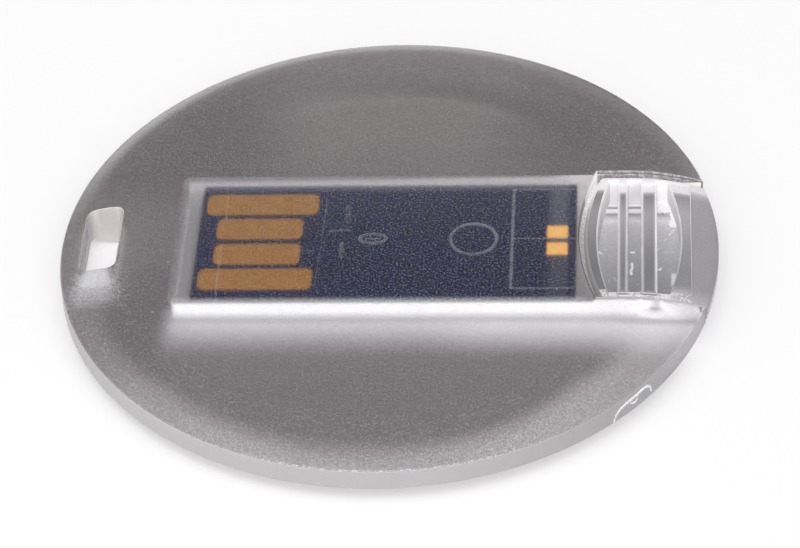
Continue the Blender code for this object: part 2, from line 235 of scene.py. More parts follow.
def settle(obj):
    """Applies obj's booleans and removes their cutters."""
    bpy.context.view_layer.update()
    depsgraph = bpy.context.evaluated_depsgraph_get()
    mesh = bpy.data.meshes.new_from_object(obj.evaluated_get(depsgraph), depsgraph=depsgraph)
    cutters = [modifier.object for modifier in obj.modifiers]
    obj.modifiers.clear()
    old = obj.data
    obj.data = mesh
    mesh.name = obj.name
    bpy.data.meshes.remove(old)
    for cutter in cutters:
        bpy.data.objects.remove(cutter, do_unlink=True)


def assign_zones(obj, materials, zone_of):
    """One slot per material; zone_of picks each face's from its centre (mm) and normal."""
    obj.data.materials.clear()
    for material in materials.values():
        obj.data.materials.append(material)
    zones = list(materials)
    for face in obj.data.polygons:
        face.material_index = zones.index(zone_of(face.center / MM, face.normal))


def shade_weighted(obj):
    obj.data.shade_smooth()
    obj.data.set_sharp_from_angle(angle=math.radians(50))
    modifier = obj.modifiers.new("normals", "WEIGHTED_NORMAL")
    modifier.keep_sharp = True
    modifier.weight = 100


# ------------------------------------------------------------------ node tools
class Value:
    """A node's output. Arithmetic on it adds math nodes."""

    def __init__(self, tree, socket):
        self.tree = tree
        self.socket = socket

    def __add__(self, other):
        return self.tree.math("ADD", self, other)

    def __radd__(self, other):
        return self.tree.math("ADD", other, self)

    def __sub__(self, other):
        return self.tree.math("SUBTRACT", self, other)

    def __rsub__(self, other):
        return self.tree.math("SUBTRACT", other, self)

    def __mul__(self, other):
        return self.tree.math("MULTIPLY", self, other)

    def __truediv__(self, other):
        return self.tree.math("DIVIDE", self, other)

    def __pow__(self, other):
        return self.tree.math("POWER", self, other)

    def __abs__(self):
        return self.tree.math("ABSOLUTE", self)

    def sqrt(self):
        return self.tree.math("SQRT", self)

    def at_least(self, other):
        return self.tree.math("MAXIMUM", self, other)

    def below(self, limit):
        return self.tree.math("LESS_THAN", self, limit)

    def ramp(self, start, end, to_start=0.0, to_end=1.0, smooth=True):
        """Runs from to_start at start to to_end at end, and is level beyond them."""
        return Value(self.tree, self.tree.node("ShaderNodeMapRange", {
            "Value": self, "From Min": start, "From Max": end,
            "To Min": to_start, "To Max": to_end,
        }, interpolation_type="SMOOTHSTEP" if smooth else "LINEAR").outputs["Result"])

    def grey(self, stops, tint):
        """Tinted grey that follows this value through (value, grey) stops."""
        low, high = stops[0][0], stops[-1][0]
        node = self.tree.node("ShaderNodeValToRGB", {0: self.ramp(low, high, smooth=False)})
        elements = node.color_ramp.elements
        for k, (value, level) in enumerate(stops):
            position = (value - low) / (high - low)
            element = elements[k] if k < 2 else elements.new(position)
            element.position = position
            element.color = (level * tint[0], level * tint[1], level * tint[2], 1)
        return Value(self.tree, node.outputs["Color"])

    def mix(self, first, second):
        """The first colour where this mask is 0, the second where it is 1."""
        return self.tree.mix_rgb(self, first, second)


class Tree:
    """Adds nodes to a node tree. Places are object coordinates in mm."""

    def __init__(self, node_tree):
        self.node_tree = node_tree

    def put(self, socket, value):
        """Links a value or socket to an input, or sets the input to a plain value."""
        value = getattr(value, "socket", value)
        if isinstance(value, bpy.types.NodeSocket):
            self.node_tree.links.new(value, socket)
        else:
            socket.default_value = value

    def node(self, kind, inputs=None, **settings):
        node = self.node_tree.nodes.new(kind)
        for key, setting in settings.items():
            setattr(node, key, setting)
        for key, value in (inputs or {}).items():
            self.put(node.inputs[key], value)
        return node

    def math(self, operation, first, second=None, clamp=False):
        inputs = {0: first} if second is None else {0: first, 1: second}
        node = self.node("ShaderNodeMath", inputs, operation=operation, use_clamp=clamp)
        return Value(self, node.outputs[0])

    def split(self, socket):
        """The x, y and z of a vector."""
        node = self.node("ShaderNodeSeparateXYZ", {0: socket})
        return [Value(self, output) for output in node.outputs]

    @cached_property
    def coords(self):
        return self.node("ShaderNodeTexCoord").outputs["Object"]

    @cached_property
    def coord_parts(self):
        return dict(zip("xyz", self.split(self.coords)))

    @cached_property
    def plan(self):
        """Place in plan."""
        return self.node("ShaderNodeVectorMath", {0: self.coords, 1: (1000.0, 1000.0, 0.0)},
                         operation="MULTIPLY").outputs[0]

    def axis(self, letter):
        return self.coord_parts[letter] * 1000.0

    def axes(self, letters):
        return [self.axis(letter) for letter in letters]

    def radius(self):
        x, y = self.axes("xy")
        return (x * x + y * y).sqrt()

    def toward(self, degrees):
        """Cosine between the place's direction from the centre and a fixed direction."""
        angle = math.radians(degrees)
        x, y = self.axes("xy")
        return (x * math.cos(angle) + y * math.sin(angle)) / (self.radius() + 0.001)

    def noise(self, per_mm, detail=2.0, rough=0.6, stretch=None):
        vector = self.coords
        if stretch:
            mapping = self.node("ShaderNodeMapping", {"Scale": stretch, "Vector": vector})
            vector = mapping.outputs[0]
        return Value(self, self.node("ShaderNodeTexNoise", {
            "Scale": per_mm * 1000.0, "Detail": detail, "Roughness": rough, "Vector": vector,
        }).outputs["Fac"])

    def mix_rgb(self, factor, first, second, mode="MIX"):
        return Value(self, self.node(
            "ShaderNodeMix", None, data_type="RGBA", blend_type=mode,
        ).outputs[2]) if False else self._mix(factor, first, second, mode)

    def _mix(self, factor, first, second, mode):
        node = self.node("ShaderNodeMix", {"Factor": factor, 6: first, 7: second},
                         data_type="RGBA", blend_type=mode)
        return Value(self, node.outputs[2])

    def mix_shader(self, factor, first, second):
        return self.node("ShaderNodeMixShader", {0: factor, 1: first, 2: second}).outputs[0]

    def bump(self, relief, strength, distance_mm):
        return self.node("ShaderNodeBump", {
            "Strength": strength, "Distance": distance_mm * MM, "Height": relief,
        }).outputs["Normal"]

    def near_line(self, start, end, width):
        """1 on the line between two points in plan, fading to 0 at width from it."""
        line = Vector((end[0] - start[0], end[1] - start[1], 0.0))
        offset = self.node("ShaderNodeVectorMath", {0: self.plan, 1: (start[0], start[1], 0.0)},
                           operation="SUBTRACT").outputs[0]
        dot = self.node("ShaderNodeVectorMath",
                        {0: offset, 1: line / max(line.length_squared, 1e-6)},
                        operation="DOT_PRODUCT").outputs["Value"]
        share = self.math("MULTIPLY", dot, 1.0, clamp=True)
        nearest = self.node("ShaderNodeVectorMath", {0: line, "Scale": share},
                            operation="SCALE").outputs[0]
        distance = self.node("ShaderNodeVectorMath", {0: offset, 1: nearest},
                             operation="DISTANCE").outputs["Value"]
        return Value(self, distance).ramp(width * 0.25, width, 1.0, 0.0)

    def scratches(self, lines):
        """Strength of a set of fine scratches: (start, end, width, strength) each."""
        return reduce(Value.at_least, [
            self.near_line(start, end, width) * strength
            for start, end, width, strength in lines])


class Material(Tree):
    def __init__(self, name):
        self.material = bpy.data.materials.new(name)
        self.material.use_nodes = True
        super().__init__(self.material.node_tree)
        self.node_tree.nodes.clear()
        self.output = self.node("ShaderNodeOutputMaterial")

    def finish(self, shader):
        self.put(self.output.inputs["Surface"], shader)
        return self.material


def mottled(mask, colour, share):
    """A colour that runs from darker to lighter by a share."""
    darker = tuple(c * (1 - share) for c in colour) + (1,)
    lighter = tuple(min(1.0, c * (1 + share)) for c in colour) + (1,)
    return mask.mix(darker, lighter)


GLASS_TINT = (0.93, 0.925, 0.93, 1)
FROST_GRAIN = (0.45, 0.45, 0.47, 1)
SHADOW_TINT = (0.90, 0.895, 0.90, 1)


def plastic(name, haze, colour, rough=0.3, grain=0.4, translucent=0.35, glow=0.0,
            bump_mm=0.004, fine=9.0, speckle=1.0, grains=0.0):
    """See-through moulded plastic: glass with a share of scattering haze. Lamps shine through it.

    haze and colour are plain values or functions of the tree. grain is the strength of the
    relief, fine its frequency per mm, speckle the unevenness of the haze and colour, and grains
    the strength of the dark grains in the glass.
    """
    tree = Material(name)
    fine_noise = tree.noise(fine, detail=3.0)
    glass = tree.node("ShaderNodeBsdfGlass", {"IOR": 1.49, "Color": GLASS_TINT, "Roughness": rough})
    if grains > 0:
        grain_mask = tree.noise(8.0).ramp(0.48, 0.66, 0.0, grains)
        tree.put(glass.inputs["Color"], grain_mask.mix(GLASS_TINT, FROST_GRAIN))
    if grain > 0:
        tree.put(glass.inputs["Normal"], tree.bump(fine_noise, 0.6 * grain, bump_mm))

    if callable(colour):
        base = colour(tree)
    else:
        base = mottled(tree.noise(0.35, rough=0.5).ramp(0.3, 0.7), colour, share=0.04)
    speck = fine_noise.ramp(0.35, 0.75, 1 - 0.10 * speckle, 1 + 0.14 * speckle, smooth=False)
    base = tree.node("ShaderNodeVectorMath", {0: base, "Scale": speck},
                     operation="SCALE").outputs[0]
    diffuse = tree.node("ShaderNodeBsdfDiffuse", {"Color": base}).outputs[0]
    through = tree.node("ShaderNodeBsdfTranslucent", {"Color": base}).outputs[0]
    scatter = tree.mix_shader(translucent, diffuse, through)
    # glow adds emission in the base colour: painted light in surfaces that are no lamp
    if glow > 0:
        emission = tree.node("ShaderNodeEmission", {"Color": base, "Strength": glow}).outputs[0]
        scatter = tree.node("ShaderNodeAddShader", {0: scatter, 1: emission}).outputs[0]

    if callable(haze):
        share = haze(tree)
    else:
        uneven = fine_noise.ramp(0.3, 0.8, 1 - 0.25 * speckle, 1 + 0.35 * speckle, smooth=False)
        share = tree.math("MULTIPLY", uneven, haze, clamp=True)
    body = tree.mix_shader(share, glass.outputs[0], scatter)
    shadow_ray = tree.node("ShaderNodeLightPath").outputs["Is Shadow Ray"]
    clear = tree.node("ShaderNodeBsdfTransparent", {"Color": SHADOW_TINT}).outputs[0]
    return tree.finish(tree.mix_shader(shadow_ray, body, clear))


# ------------------------------------------------------------------ disc
def disc_blank():
    """The round body, turned from its profile of (radius, z)."""
    fillet = 0.10      # small round where the dome meets the rim wall
    shoulder = DISC_R - fillet * 0.32
    profile = [(15.1, TOP)]
    profile += [(r, height(r)) for r in spaced(FLAT_R, DISC_R - fillet * 1.05, 22)]
    profile += [(shoulder, height(shoulder) - fillet * 0.10),
                (DISC_R, height(DISC_R) - fillet * 0.85)]
    profile += [(r, -z) for r, z in reversed(profile)]
    rings = [[(x, y, z) for x, y in oval(0, 0, r, r, steps=256)] for r, z in profile]
    return new_object("disc_shell", loft(rings, turned=True))


def cut_slot(disc):
    outline = rounded(SLOT_X0, SLOT_X1, SLOT_Y0, SLOT_Y1, SLOT_CORNER)
    tops = [height_at(x, y) for x, y in offset_out(outline, EDGE_BREAK)]
    cut(disc, "c_slot", flared(outline, (
        (EDGE_BREAK, -3.0),
        (EDGE_BREAK, [-z - 0.01 for z in tops]),
        (0, [-z + EDGE_BREAK for z in tops]),
        (0, [z - EDGE_BREAK for z in tops]),
        (EDGE_BREAK, [z + 0.01 for z in tops]),
        (EDGE_BREAK, 3.0))))


def open_outline(left, run):
    """Left side of a pocket, carried on along its two sides and out past the rim."""
    near = [(x, -POCKET_W) for x in run] + [(OPEN_X, -POCKET_W)]
    return left + near + [(OPEN_X, POCKET_W)] + [(x, POCKET_W) for x in reversed(run)]


def cut_pocket(disc):
    """The pocket from below."""
    corners = rounded(POCKET_X0, OPEN_X, -POCKET_W, POCKET_W, 0.5, 6)
    outline = open_outline([(x, y) for x, y in corners if x < 0], spaced(12.0, RUN_X1, 27))
    tops = [height_at(x, y) for x, y in outline]
    cut(disc, "c_pocket", flared(outline, (
        (EDGE_BREAK, -4.0),
        (EDGE_BREAK, [-z - 0.01 for z in tops]),
        (0, [-z + EDGE_BREAK for z in tops]),
        (0, POCKET_TOP))))


def cut_notch(disc):
    """The notch that opens the pocket upward round the hinge block."""
    arc = [(arc_left(NOTCH_APEX, NOTCH_R, y), y) for y in spaced(POCKET_W, -POCKET_W, 40)]
    outline = open_outline(arc, spaced(arc[0][0], RUN_X1, 27)[1:])
    tops = [height_at(x, y) for x, y in outline]
    cut(disc, "c_notch", flared(outline, (
        (0, 0.55),
        (0, [z - EDGE_BREAK for z in tops]),
        (EDGE_BREAK, [z + 0.01 for z in tops]),
        (EDGE_BREAK, 4.0))))


def cut_lean(disc):
    """Breaks the notch's near edge wider towards the rim."""
    rows = []
    for x in spaced(13.0, RUN_X1, 24):
        extra = 0.004 + 0.13 * min(1.0, (x - 13.0) / 5.0)
        surface = height_at(x, POCKET_W)
        low = surface - EDGE_BREAK - 0.6 * extra
        high = surface + 0.01
        inner_y, outer_y = -POCKET_W + 0.4, -POCKET_W - EDGE_BREAK - extra
        rows.append([
            (x, inner_y, low - 0.4 * (high - low) / (EDGE_BREAK + extra)),
            (x, outer_y, high),
            (x, outer_y, high + 0.6),
            (x, inner_y, high + 0.6)])
    bm = loft(rows, turned=True)
    bmesh.ops.triangulate(bm, faces=bm.faces[:])
    cut(disc, "c_lean", bm)


def cut_marks(disc):
    """Moulding marks in the pocket's ceiling: a ring, a small oval one and an insert's outline."""
    low, high = 0.5, POCKET_TOP + 0.05
    x0, x1, y0, y1, half_line = 7.55, 11.30, -4.75, 4.45, 0.09
    line_x = x0 + half_line
    cut(disc, "c_ring", oval_ring(5.20, -0.20, 1.40, 1.42, 0.20, low, high))
    cut(disc, "c_oval", oval_ring(-0.92, -0.12, 0.80, 0.42, 0.24, low, high))
    cut(disc, "c_oval_bar", box(-1.40, -0.44, -0.19, -0.07, low, high - 0.015))
    cut(disc, "c_line_a", box(x0 - half_line, line_x, y0 - half_line, y1 + half_line, low, high))
    cut(disc, "c_line_b", box(line_x, x1, y0 - 0.06, y0 + 0.06, low, high - 0.01))
    cut(disc, "c_line_c", box(line_x, x1, y1 - 0.06, y1 + 0.06, low, high - 0.01))
    cut(disc, "c_line_d", box(line_x, x1, -0.22, -0.14, low, high - 0.02))


def disc_zone(centre, normal):
    x, y, z = centre
    radius = math.hypot(x, y)
    in_slot = (SLOT_X0 - 0.12 < x < SLOT_X1 + 0.12
               and SLOT_Y0 - 0.12 < y < SLOT_Y1 + 0.12)
    in_pocket = POCKET_X0 - 0.12 < x and abs(y) < POCKET_W + 0.5
    sloped = 0.35 < normal.z < 0.90
    upright = abs(normal.z) < 0.9
    if in_slot and sloped:
        return "slot" if y > SLOT_Y0 + 0.3 else "slot_near"
    if (in_slot and x < SLOT_X0 - 0.01 and PARTING_Y0 - 0.05 < y < PARTING_Y1 + 0.05
            and any(low - 0.01 < z < high + 0.01 for low, high in PARTING_LINES)):
        return "slot_line"
    if in_slot and normal.y > 0.3 and y < SLOT_Y0 + 0.7:
        return "slot_near"
    if in_slot and upright:
        return "slot"
    if sloped and x > 11.3 and abs(y) < 6.25 and z > 0.3:
        if y < -5.8:
            return "edge_near"
        return "gap_edge" if normal.x > 0.4 else "edge"
    if math.hypot(x - PIVOT_X, z) < 0.80 and POCKET_W - 0.05 < abs(y) < 6.4:
        return "dimple"
    if in_pocket and POCKET_TOP + 0.004 < z < 1.2 and abs(y) < POCKET_W - 0.08 and x < 11.9:
        return "marks_faint" if x > 7.72 else "marks"
    if in_pocket and normal.z < -0.7 and z > 0.5:
        return "ceiling"
    if (in_pocket and upright and -6.5 < y < -POCKET_W + 0.1
            and abs(z) < TOP and radius < 19.7):
        return "wall_near"
    if in_pocket and upright and POCKET_W - 0.1 < y < 6.5 and radius < 19.9:
        return "wall_notch" if x > 12.4 and z > POCKET_TOP - 0.4 else "wall_far"
    if in_pocket and upright and radius < 19.7:
        return "gap" if x > 11.3 else "wall_end"
    if abs(normal.z) < 0.55 and radius > 19.5:
        return "rim"
    if radius > DISC_R - 0.16 and normal.z > 0:
        return "rim_edge"
    return "top" if normal.z > 0 else "bottom"


def build_disc():
    disc = disc_blank()
    cut_slot(disc)
    cut_pocket(disc)
    cut_notch(disc)
    cut_lean(disc)
    cut(disc, "c_dimples", pivot_cylinder(0.78, -6.28, 6.28))
    # parting lines of the mould along the slot's outer wall
    for k, (low, high) in enumerate(PARTING_LINES):
        line = box(SLOT_X0 - 0.05, SLOT_X0 + 0.3, PARTING_Y0, PARTING_Y1, low, high)
        cut(disc, "c_part%d" % k, line)
    settle(disc)
    cut_marks(disc)
    settle(disc)

    assign_zones(disc, disc_materials(), disc_zone)
    shade_weighted(disc)
    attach(disc, "disc")
    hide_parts("disc_body")


# paths of the torn ridges on the rim: (direction from the centre in degrees, z)
CRESCENT = (
    (-46.7, -0.58), (-46.1, -0.12), (-45.1, 0.15), (-43.9, 0.24), (-42.6, 0.30),
    (-41.0, 0.34), (-39.6, 0.42), (-38.5, 0.34), (-37.7, 0.10), (-37.3, -0.36),
)
FLAP = ((-42.7, 0.00), (-42.2, -0.10), (-41.6, -0.12), (-41.0, 0.00))


def ridge_row(path, k, steps, base, extra):
    """Five points across a torn ridge at step k: base is its half width, extra its teeth."""
    u = k / steps * (len(path) - 1)
    i = min(int(u), len(path) - 2)
    share = u - i
    (angle0, z0), (angle1, z1) = path[i], path[i + 1]
    angle = angle0 * (1 - share) + angle1 * share
    height_mid = z0 * (1 - share) + z1 * share
    taper = math.sin(math.pi * (0.05 + 0.90 * k / steps)) ** 0.6
    rough = abs(math.sin(k * 0.41 + 0.6) * math.sin(k * 0.173 + 1.9)) ** 0.8
    tooth = 0.5 + 0.5 * math.sin(k * 0.83) * math.sin(k * 0.37 + 1.0)
    width_taper = 0.35 + 0.65 * taper
    half_in = (base + extra * rough * tooth) * width_taper
    half_out = (base + 0.5 * extra * (1 - rough) * tooth) * width_taper
    crest = (0.02 + 0.07 * (0.5 + 0.5 * math.sin(k * 2.3 + 0.7))) * (0.4 + 0.6 * taper)
    # direction along the path, as arc length and z
    run = math.radians(angle1 - angle0) * DISC_R
    rise = z1 - z0
    length = math.hypot(run, rise)
    along_rim, along_z = run / length, rise / length
    section = ((-half_in, -0.05), (-0.55 * half_in, crest * 0.8), (0.0, crest),
               (0.5 * half_out, crest * 0.55), (half_out, -0.05))
    row = []
    for side, lift in section:
        a = math.radians(angle) - along_z * side / DISC_R
        radius = min(DISC_R + lift, DISC_R + 0.10)
        row.append((radius * math.cos(a), radius * math.sin(a), height_mid + along_rim * side))
    return row


def build_gate():
    """The torn crescent left where the moulding gate was broken off, with a small flap in it."""
    bm = bmesh.new()
    for path, steps, base, extra in ((CRESCENT, 130, 0.075, 0.20), (FLAP, 30, 0.06, 0.08)):
        rows = add_loops(bm, [ridge_row(path, k, steps, base, extra) for k in range(steps + 1)])
        bridge(bm, rows, turned=True)
        bm.faces.new(rows[0][::-1])
        bm.faces.new(rows[-1])
    gate = new_object("gate_vestige", bm)
    # the torn plastic's glow is painted light
    gate.data.materials.append(plastic(
        "torn_plastic", haze=0.92, colour=(0.93, 0.94, 0.97), rough=0.4, grain=1.0,
        bump_mm=0.02, translucent=0.3, glow=0.12, fine=12.0))
    gate.data.shade_smooth()
    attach(gate, "disc")


# ------------------------------------------------------------------ disc materials
BOTTOM_GREY = (0.272, 0.246, 0.247, 1)
# painted light: the far side's lighter patch and its border
BOTTOM_LIT_PATCH = (0.330, 0.298, 0.296, 1)
BOTTOM_LIT_BORDER = (0.385, 0.350, 0.350, 1)
BOTTOM_RING = (0.275, 0.255, 0.258, 1)
# painted shade
BOTTOM_SHADE = (0.185, 0.170, 0.174, 1)
BOTTOM_LIT = (0.74, 0.735, 0.77, 1)
# share of haze in the top face's grains, and of the painted sheen at its near border and far border
TOP_GRAIN, TOP_NEAR_SHEEN, TOP_FAR_SHEEN = 0.17, 0.245, 0.45
PALE_TINT = (1.0, 0.985, 1.0)
# scratches in plan: start, end, width, strength
TOP_SCRATCHES = (
    ((-10.12, 4.92), (-9.93, 1.16), 0.06, 0.16),
    ((-10.07, -1.10), (-10.02, -6.25), 0.12, 0.10),
    ((-7.41, 3.15), (-8.89, 0.87), 0.05, 0.10),
    ((-3.89, 3.50), (-3.97, -0.58), 0.06, 0.14),
    ((-3.97, -0.58), (-4.17, -4.84), 0.06, 0.10),
    ((-5.60, -1.51), (-4.38, -1.61), 0.05, 0.14),
    ((-3.55, 0.26), (-2.40, 0.34), 0.16, 0.13),
    ((-2.55, 2.60), (-2.45, 1.10), 0.26, 0.10),
    ((-2.75, -0.95), (-2.70, -2.10), 0.26, 0.10),
    ((-13.16, -2.57), (-13.13, -2.55), 0.09, 0.35),
    ((-13.68, -7.13), (-13.66, -7.11), 0.10, 0.35),
    ((9.4, 11.2), (9.5, 11.25), 0.07, 0.25),
    ((-6.2, 9.1), (-6.15, 9.1), 0.07, 0.25),
    ((2.5, -9.7), (2.55, -9.72), 0.07, 0.25),
    ((-9.0, -11.4), (-8.2, -11.1), 0.05, 0.12),
    ((6.1, 8.2), (7.4, 8.9), 0.04, 0.07),
)


def bottom_pattern(tree):
    """Grey where the face is flat, a little darker where the dome starts, lighter by lit walls: painted light and
    shade, with a lighter patch on the far side and painted shade in the far corners.
    """
    radius = tree.radius()
    x, y = tree.axes("xy")
    ring = radius.ramp(16.8, 19.6)
    # painted light: a lighter patch on the far side, with a lighter border where the dome starts
    lit_patch = tree.toward(92).ramp(0.78, 0.98) * radius.ramp(7.0, 12.5) * radius.ramp(17.3, 16.2)
    lit_border = (tree.toward(90).ramp(0.80, 0.96) * radius.ramp(14.2, 15.2)
                 * radius.ramp(16.2, 15.5) * 0.8)
    # painted shade in the far corners and where the dome starts
    corner = abs(x).ramp(5.0, 12.0) * y.ramp(3.0, 8.0) * radius.ramp(20.0, 18.6)
    dome_shade = radius.ramp(15.0, 15.7) * radius.ramp(17.6, 16.4) * tree.toward(45).ramp(0.2, 0.95)
    # light that enters through the pocket's near wall and fades over about 3 mm
    inside = x.ramp(-13.7, -12.4) * y.below(-5.0)
    lit = y.ramp(-9.7, -6.3) * inside
    brightest = lit * x.ramp(1.5, 6.5) * x.ramp(18.0, 15.5) * 0.55
    # the same from the slot's near wall
    sparkle = tree.noise(7.0).ramp(0.40, 0.62, 0.55, 1.15)
    slot = (y.ramp(-5.3, -3.3) * y.below(-2.9) * x.ramp(-19.4, -18.0) * x.ramp(-15.6, -17.2)
            * sparkle)
    # painted shade between the slot and the pocket
    shade = (x.ramp(-12.0, -13.6) * x.ramp(-17.6, -15.0) * y.ramp(-0.2, -2.2)
             * y.ramp(-12.5, -7.5) * 0.55)
    # painted shade along the pocket's near wall
    wall_shade_line = (x.ramp(12.0, 16.5, 0.52, 1.0) * x.ramp(-13.8, -12.6) * y.ramp(-6.60, -6.15)
              * y.below(-5.0))
    colour = ring.mix(BOTTOM_GREY, BOTTOM_RING)
    for mask, other in (
            (lit_patch, BOTTOM_LIT_PATCH),
            (lit_border, BOTTOM_LIT_BORDER),
            (corner * 0.90, BOTTOM_SHADE),
            (dome_shade * 0.75, BOTTOM_SHADE),
            (shade, BOTTOM_SHADE),
            (lit.at_least(slot * 0.85), BOTTOM_LIT),
            (brightest, (0.92, 0.91, 0.95, 1)),
            (wall_shade_line * 0.62, BOTTOM_SHADE)):
        colour = mask.mix(colour, other)
    return colour


def top_haze(tree):
    """Frost grains over a clear face, with haze thickening at the domed border that faces the viewer: a painted
    sheen there and along the far rim.
    """
    radius = tree.radius()
    x, y = tree.axes("xy")
    view = tree.split(tree.node("ShaderNodeNewGeometry").outputs["Incoming"])
    side = (x * view[0] + y * view[1]) / (radius + 0.001)
    near = side.ramp(-0.15, 0.80)
    widening = tree.toward(270).ramp(0.98, 0.72, 0.0, 0.9) * x.ramp(-10.0, -1.0, 0.18, 1.0)
    ring = (radius + widening).ramp(17.75, 19.55)
    grain = tree.noise(8.0).ramp(0.50, 0.66, 0.0, TOP_GRAIN) + y.ramp(-5.0, 6.0, 0.0, 0.014)
    fine = tree.noise(9.0, detail=3.0).ramp(0.3, 0.8, 0.6, 1.5, smooth=False)
    # painted sheen along the far rim, and at the near border on the side that faces the viewer
    far_sheen = tree.toward(115).ramp(0.45, 0.92) * radius.ramp(18.6, 19.9) * TOP_FAR_SHEEN
    near_sheen = (ring * near * fine * tree.toward(312).ramp(0.72, 0.97, 1.0, 1.38)
                 * tree.toward(222).ramp(0.80, 0.99, 1.0, 1.42) * TOP_NEAR_SHEEN)
    # painted glints on the top face beside the slot's near end
    glint = tree.noise(8.0).ramp(0.44, 0.66, 0.0, 0.30)
    slot_glints = (y.ramp(-6.8, -5.0) * y.ramp(-2.7, -3.3) * x.ramp(-19.6, -18.2)
               * x.ramp(-14.8, -17.0) * glint)
    pocket_border = (y.ramp(-5.70, -6.12) * y.ramp(-6.40, -6.15) * x.ramp(-13.2, -12.4)
                     * x.ramp(12.3, 11.6) * tree.noise(6.0).ramp(0.35, 0.65, 0.4, 1.0) * 0.30)
    total = grain + (slot_glints + pocket_border) + (near_sheen + far_sheen)
    cuts = tree.scratches(TOP_SCRATCHES)
    broken = tree.noise(3.0).ramp(0.36, 0.56, 0.15, 0.85)
    return tree.math("ADD", total, cuts * broken, clamp=True)


def slot_pattern(tree):
    """The walls that face left or right are greyer than the end wall: painted shade by the way each wall faces."""
    normal = tree.split(tree.node("ShaderNodeNewGeometry").outputs["Normal"])
    side = abs(normal[0]).ramp(0.25, 0.95)
    return side.mix((0.93, 0.88, 0.87, 1), (0.60, 0.57, 0.58, 1))


def slot_near_pattern(tree):
    """Light caught in the slot's near wall, fading downward and to its ends."""
    x, z = tree.axes("xz")
    lit = z.grey(((-1.5, 0.55), (-1.1, 0.80), (-0.4, 0.92), (0.4, 1.0), (1.2, 0.98),
                  (1.5, 0.90)), (0.97, 0.985, 1.0))
    wavy_x = x + (tree.noise(2.5) - 0.5) * 0.5
    ends = ((wavy_x + z * -0.12).ramp(-18.75, -18.05)
            * (wavy_x + z * 0.08).ramp(-16.30, -17.05))
    return ends.mix((0.27, 0.26, 0.27, 1), lit)


def slot_line_pattern(tree):
    return tree.noise(1.6).ramp(0.42, 0.58).mix((0.36, 0.35, 0.38, 1), (0.58, 0.56, 0.57, 1))


def far_pattern(tree):
    """Pale wall behind the board, with painted light brightest beside the hinge and painted shade along its top.
    """
    x, z = tree.axes("xz")
    colour = x.grey(((-13.0, 0.84), (-2.0, 0.80), (8.0, 0.93), (12.0, 1.0)), (1.0, 0.97, 0.965))
    # painted shade in a band along the wall's top
    above = z - (0.66 + x * 0.011)
    dark = above.ramp(-0.16, 0.12) * x.ramp(11.2, 9.4)
    return dark.mix(colour, (0.23, 0.22, 0.225, 1))


def depth_below_face(tree, z):
    """Depth below the upper face, with the dome taken as a parabola."""
    past_flat = (tree.radius() - FLAT_R).at_least(0.0)
    return TOP - past_flat * past_flat * 0.040 - z


def notch_pattern(tree):
    """Speckled wall over the hinge stub, with a dark line just under its upper edge."""
    depth = depth_below_face(tree, tree.axis("z"))
    line = depth.ramp(0.09, 0.13) * depth.ramp(0.24, 0.18)
    speckled = tree.noise(5.0).ramp(0.42, 0.60).mix((0.46, 0.42, 0.42, 1), (0.80, 0.78, 0.78, 1))
    return (line * 0.80).mix(speckled, (0.17, 0.16, 0.18, 1))


def dimple_pattern(tree):
    """A grey spot in a pale dimple, greyer to the right: painted shade round the pivot; the pale is painted light.
    """
    x = tree.axis("x") - (PIVOT_X + 0.20)
    z = tree.axis("z") - 0.52
    spot = (x * x + z * z).sqrt()
    colour = spot.ramp(0.14, 0.54).mix((0.50, 0.50, 0.53, 1), (0.98, 0.98, 0.99, 1))
    return tree.axis("x").ramp(15.9, 16.8, 0.0, 0.30).mix(colour, (0.62, 0.62, 0.64, 1))


def rim_pattern(tree):
    """The rim takes most light towards the near left."""
    return tree.toward(240).grey(
        ((-1.0, 0.42), (0.2, 0.51), (0.5, 0.62), (0.8, 0.73), (1.0, 0.73)), (1.0, 0.99, 1.0))


def near_pattern(tree):
    """The lit wall: soft along its top and foot, greyer beside the hinge and at its left end."""
    x, z = tree.axes("xz")
    colour = z.grey((
        (-1.5, 0.48), (-1.29, 0.62), (-1.0, 0.83), (-0.68, 0.97), (0.30, 1.0), (0.47, 0.93),
        (0.62, 0.64), (0.76, 0.38), (0.92, 0.28)), (0.99, 0.99, 1.0))
    colour = x.ramp(-12.35, -12.95).mix(colour, (0.42, 0.42, 0.43, 1))
    # beside the hinge the wall reaches the top face; its upper lip is grey
    lip = depth_below_face(tree, z).grey((
        (0.0, 0.74), (0.12, 0.56), (0.24, 0.40), (0.46, 0.45), (0.60, 0.84), (0.70, 1.0),
        (1.0, 1.0)), (1.0, 0.985, 0.98))
    tall = z.grey(((-1.5, 0.48), (-1.29, 0.60), (-1.0, 0.80), (-0.68, 0.95), (1.6, 1.0)),
                  (0.99, 0.99, 1.0))
    hinge = tree.mix_rgb(1.0, tall, lip, "MULTIPLY")
    # painted shadow round the pivot pin
    pin_shadow = ((x - 16.10) ** 2.0 + ((z - 0.52) * 0.90) ** 2.0).sqrt()
    hinge = pin_shadow.ramp(0.54, 0.14, 0.0, 0.80).mix(hinge, (0.52, 0.52, 0.55, 1))
    colour = x.ramp(12.3, 12.7).mix(colour, hinge)
    # painted shade towards the wall's right end, and darker still low down there
    colour = x.ramp(16.1, 18.6, 0.0, 0.80).mix(colour, (0.58, 0.58, 0.60, 1))
    dark_end = x.ramp(17.0, 18.9) * z.ramp(-0.25, -0.95) * 0.80
    return dark_end.mix(colour, (0.22, 0.22, 0.25, 1))


def gap_pattern(tree):
    """The narrow gap beside the hinge: painted shade towards the viewer, painted light at its far end."""
    return tree.axis("y").grey(
        ((-5.9, 0.16), (-1.5, 0.18), (1.0, 0.30), (2.8, 0.55), (4.4, 0.92), (5.9, 1.0)),
        PALE_TINT)


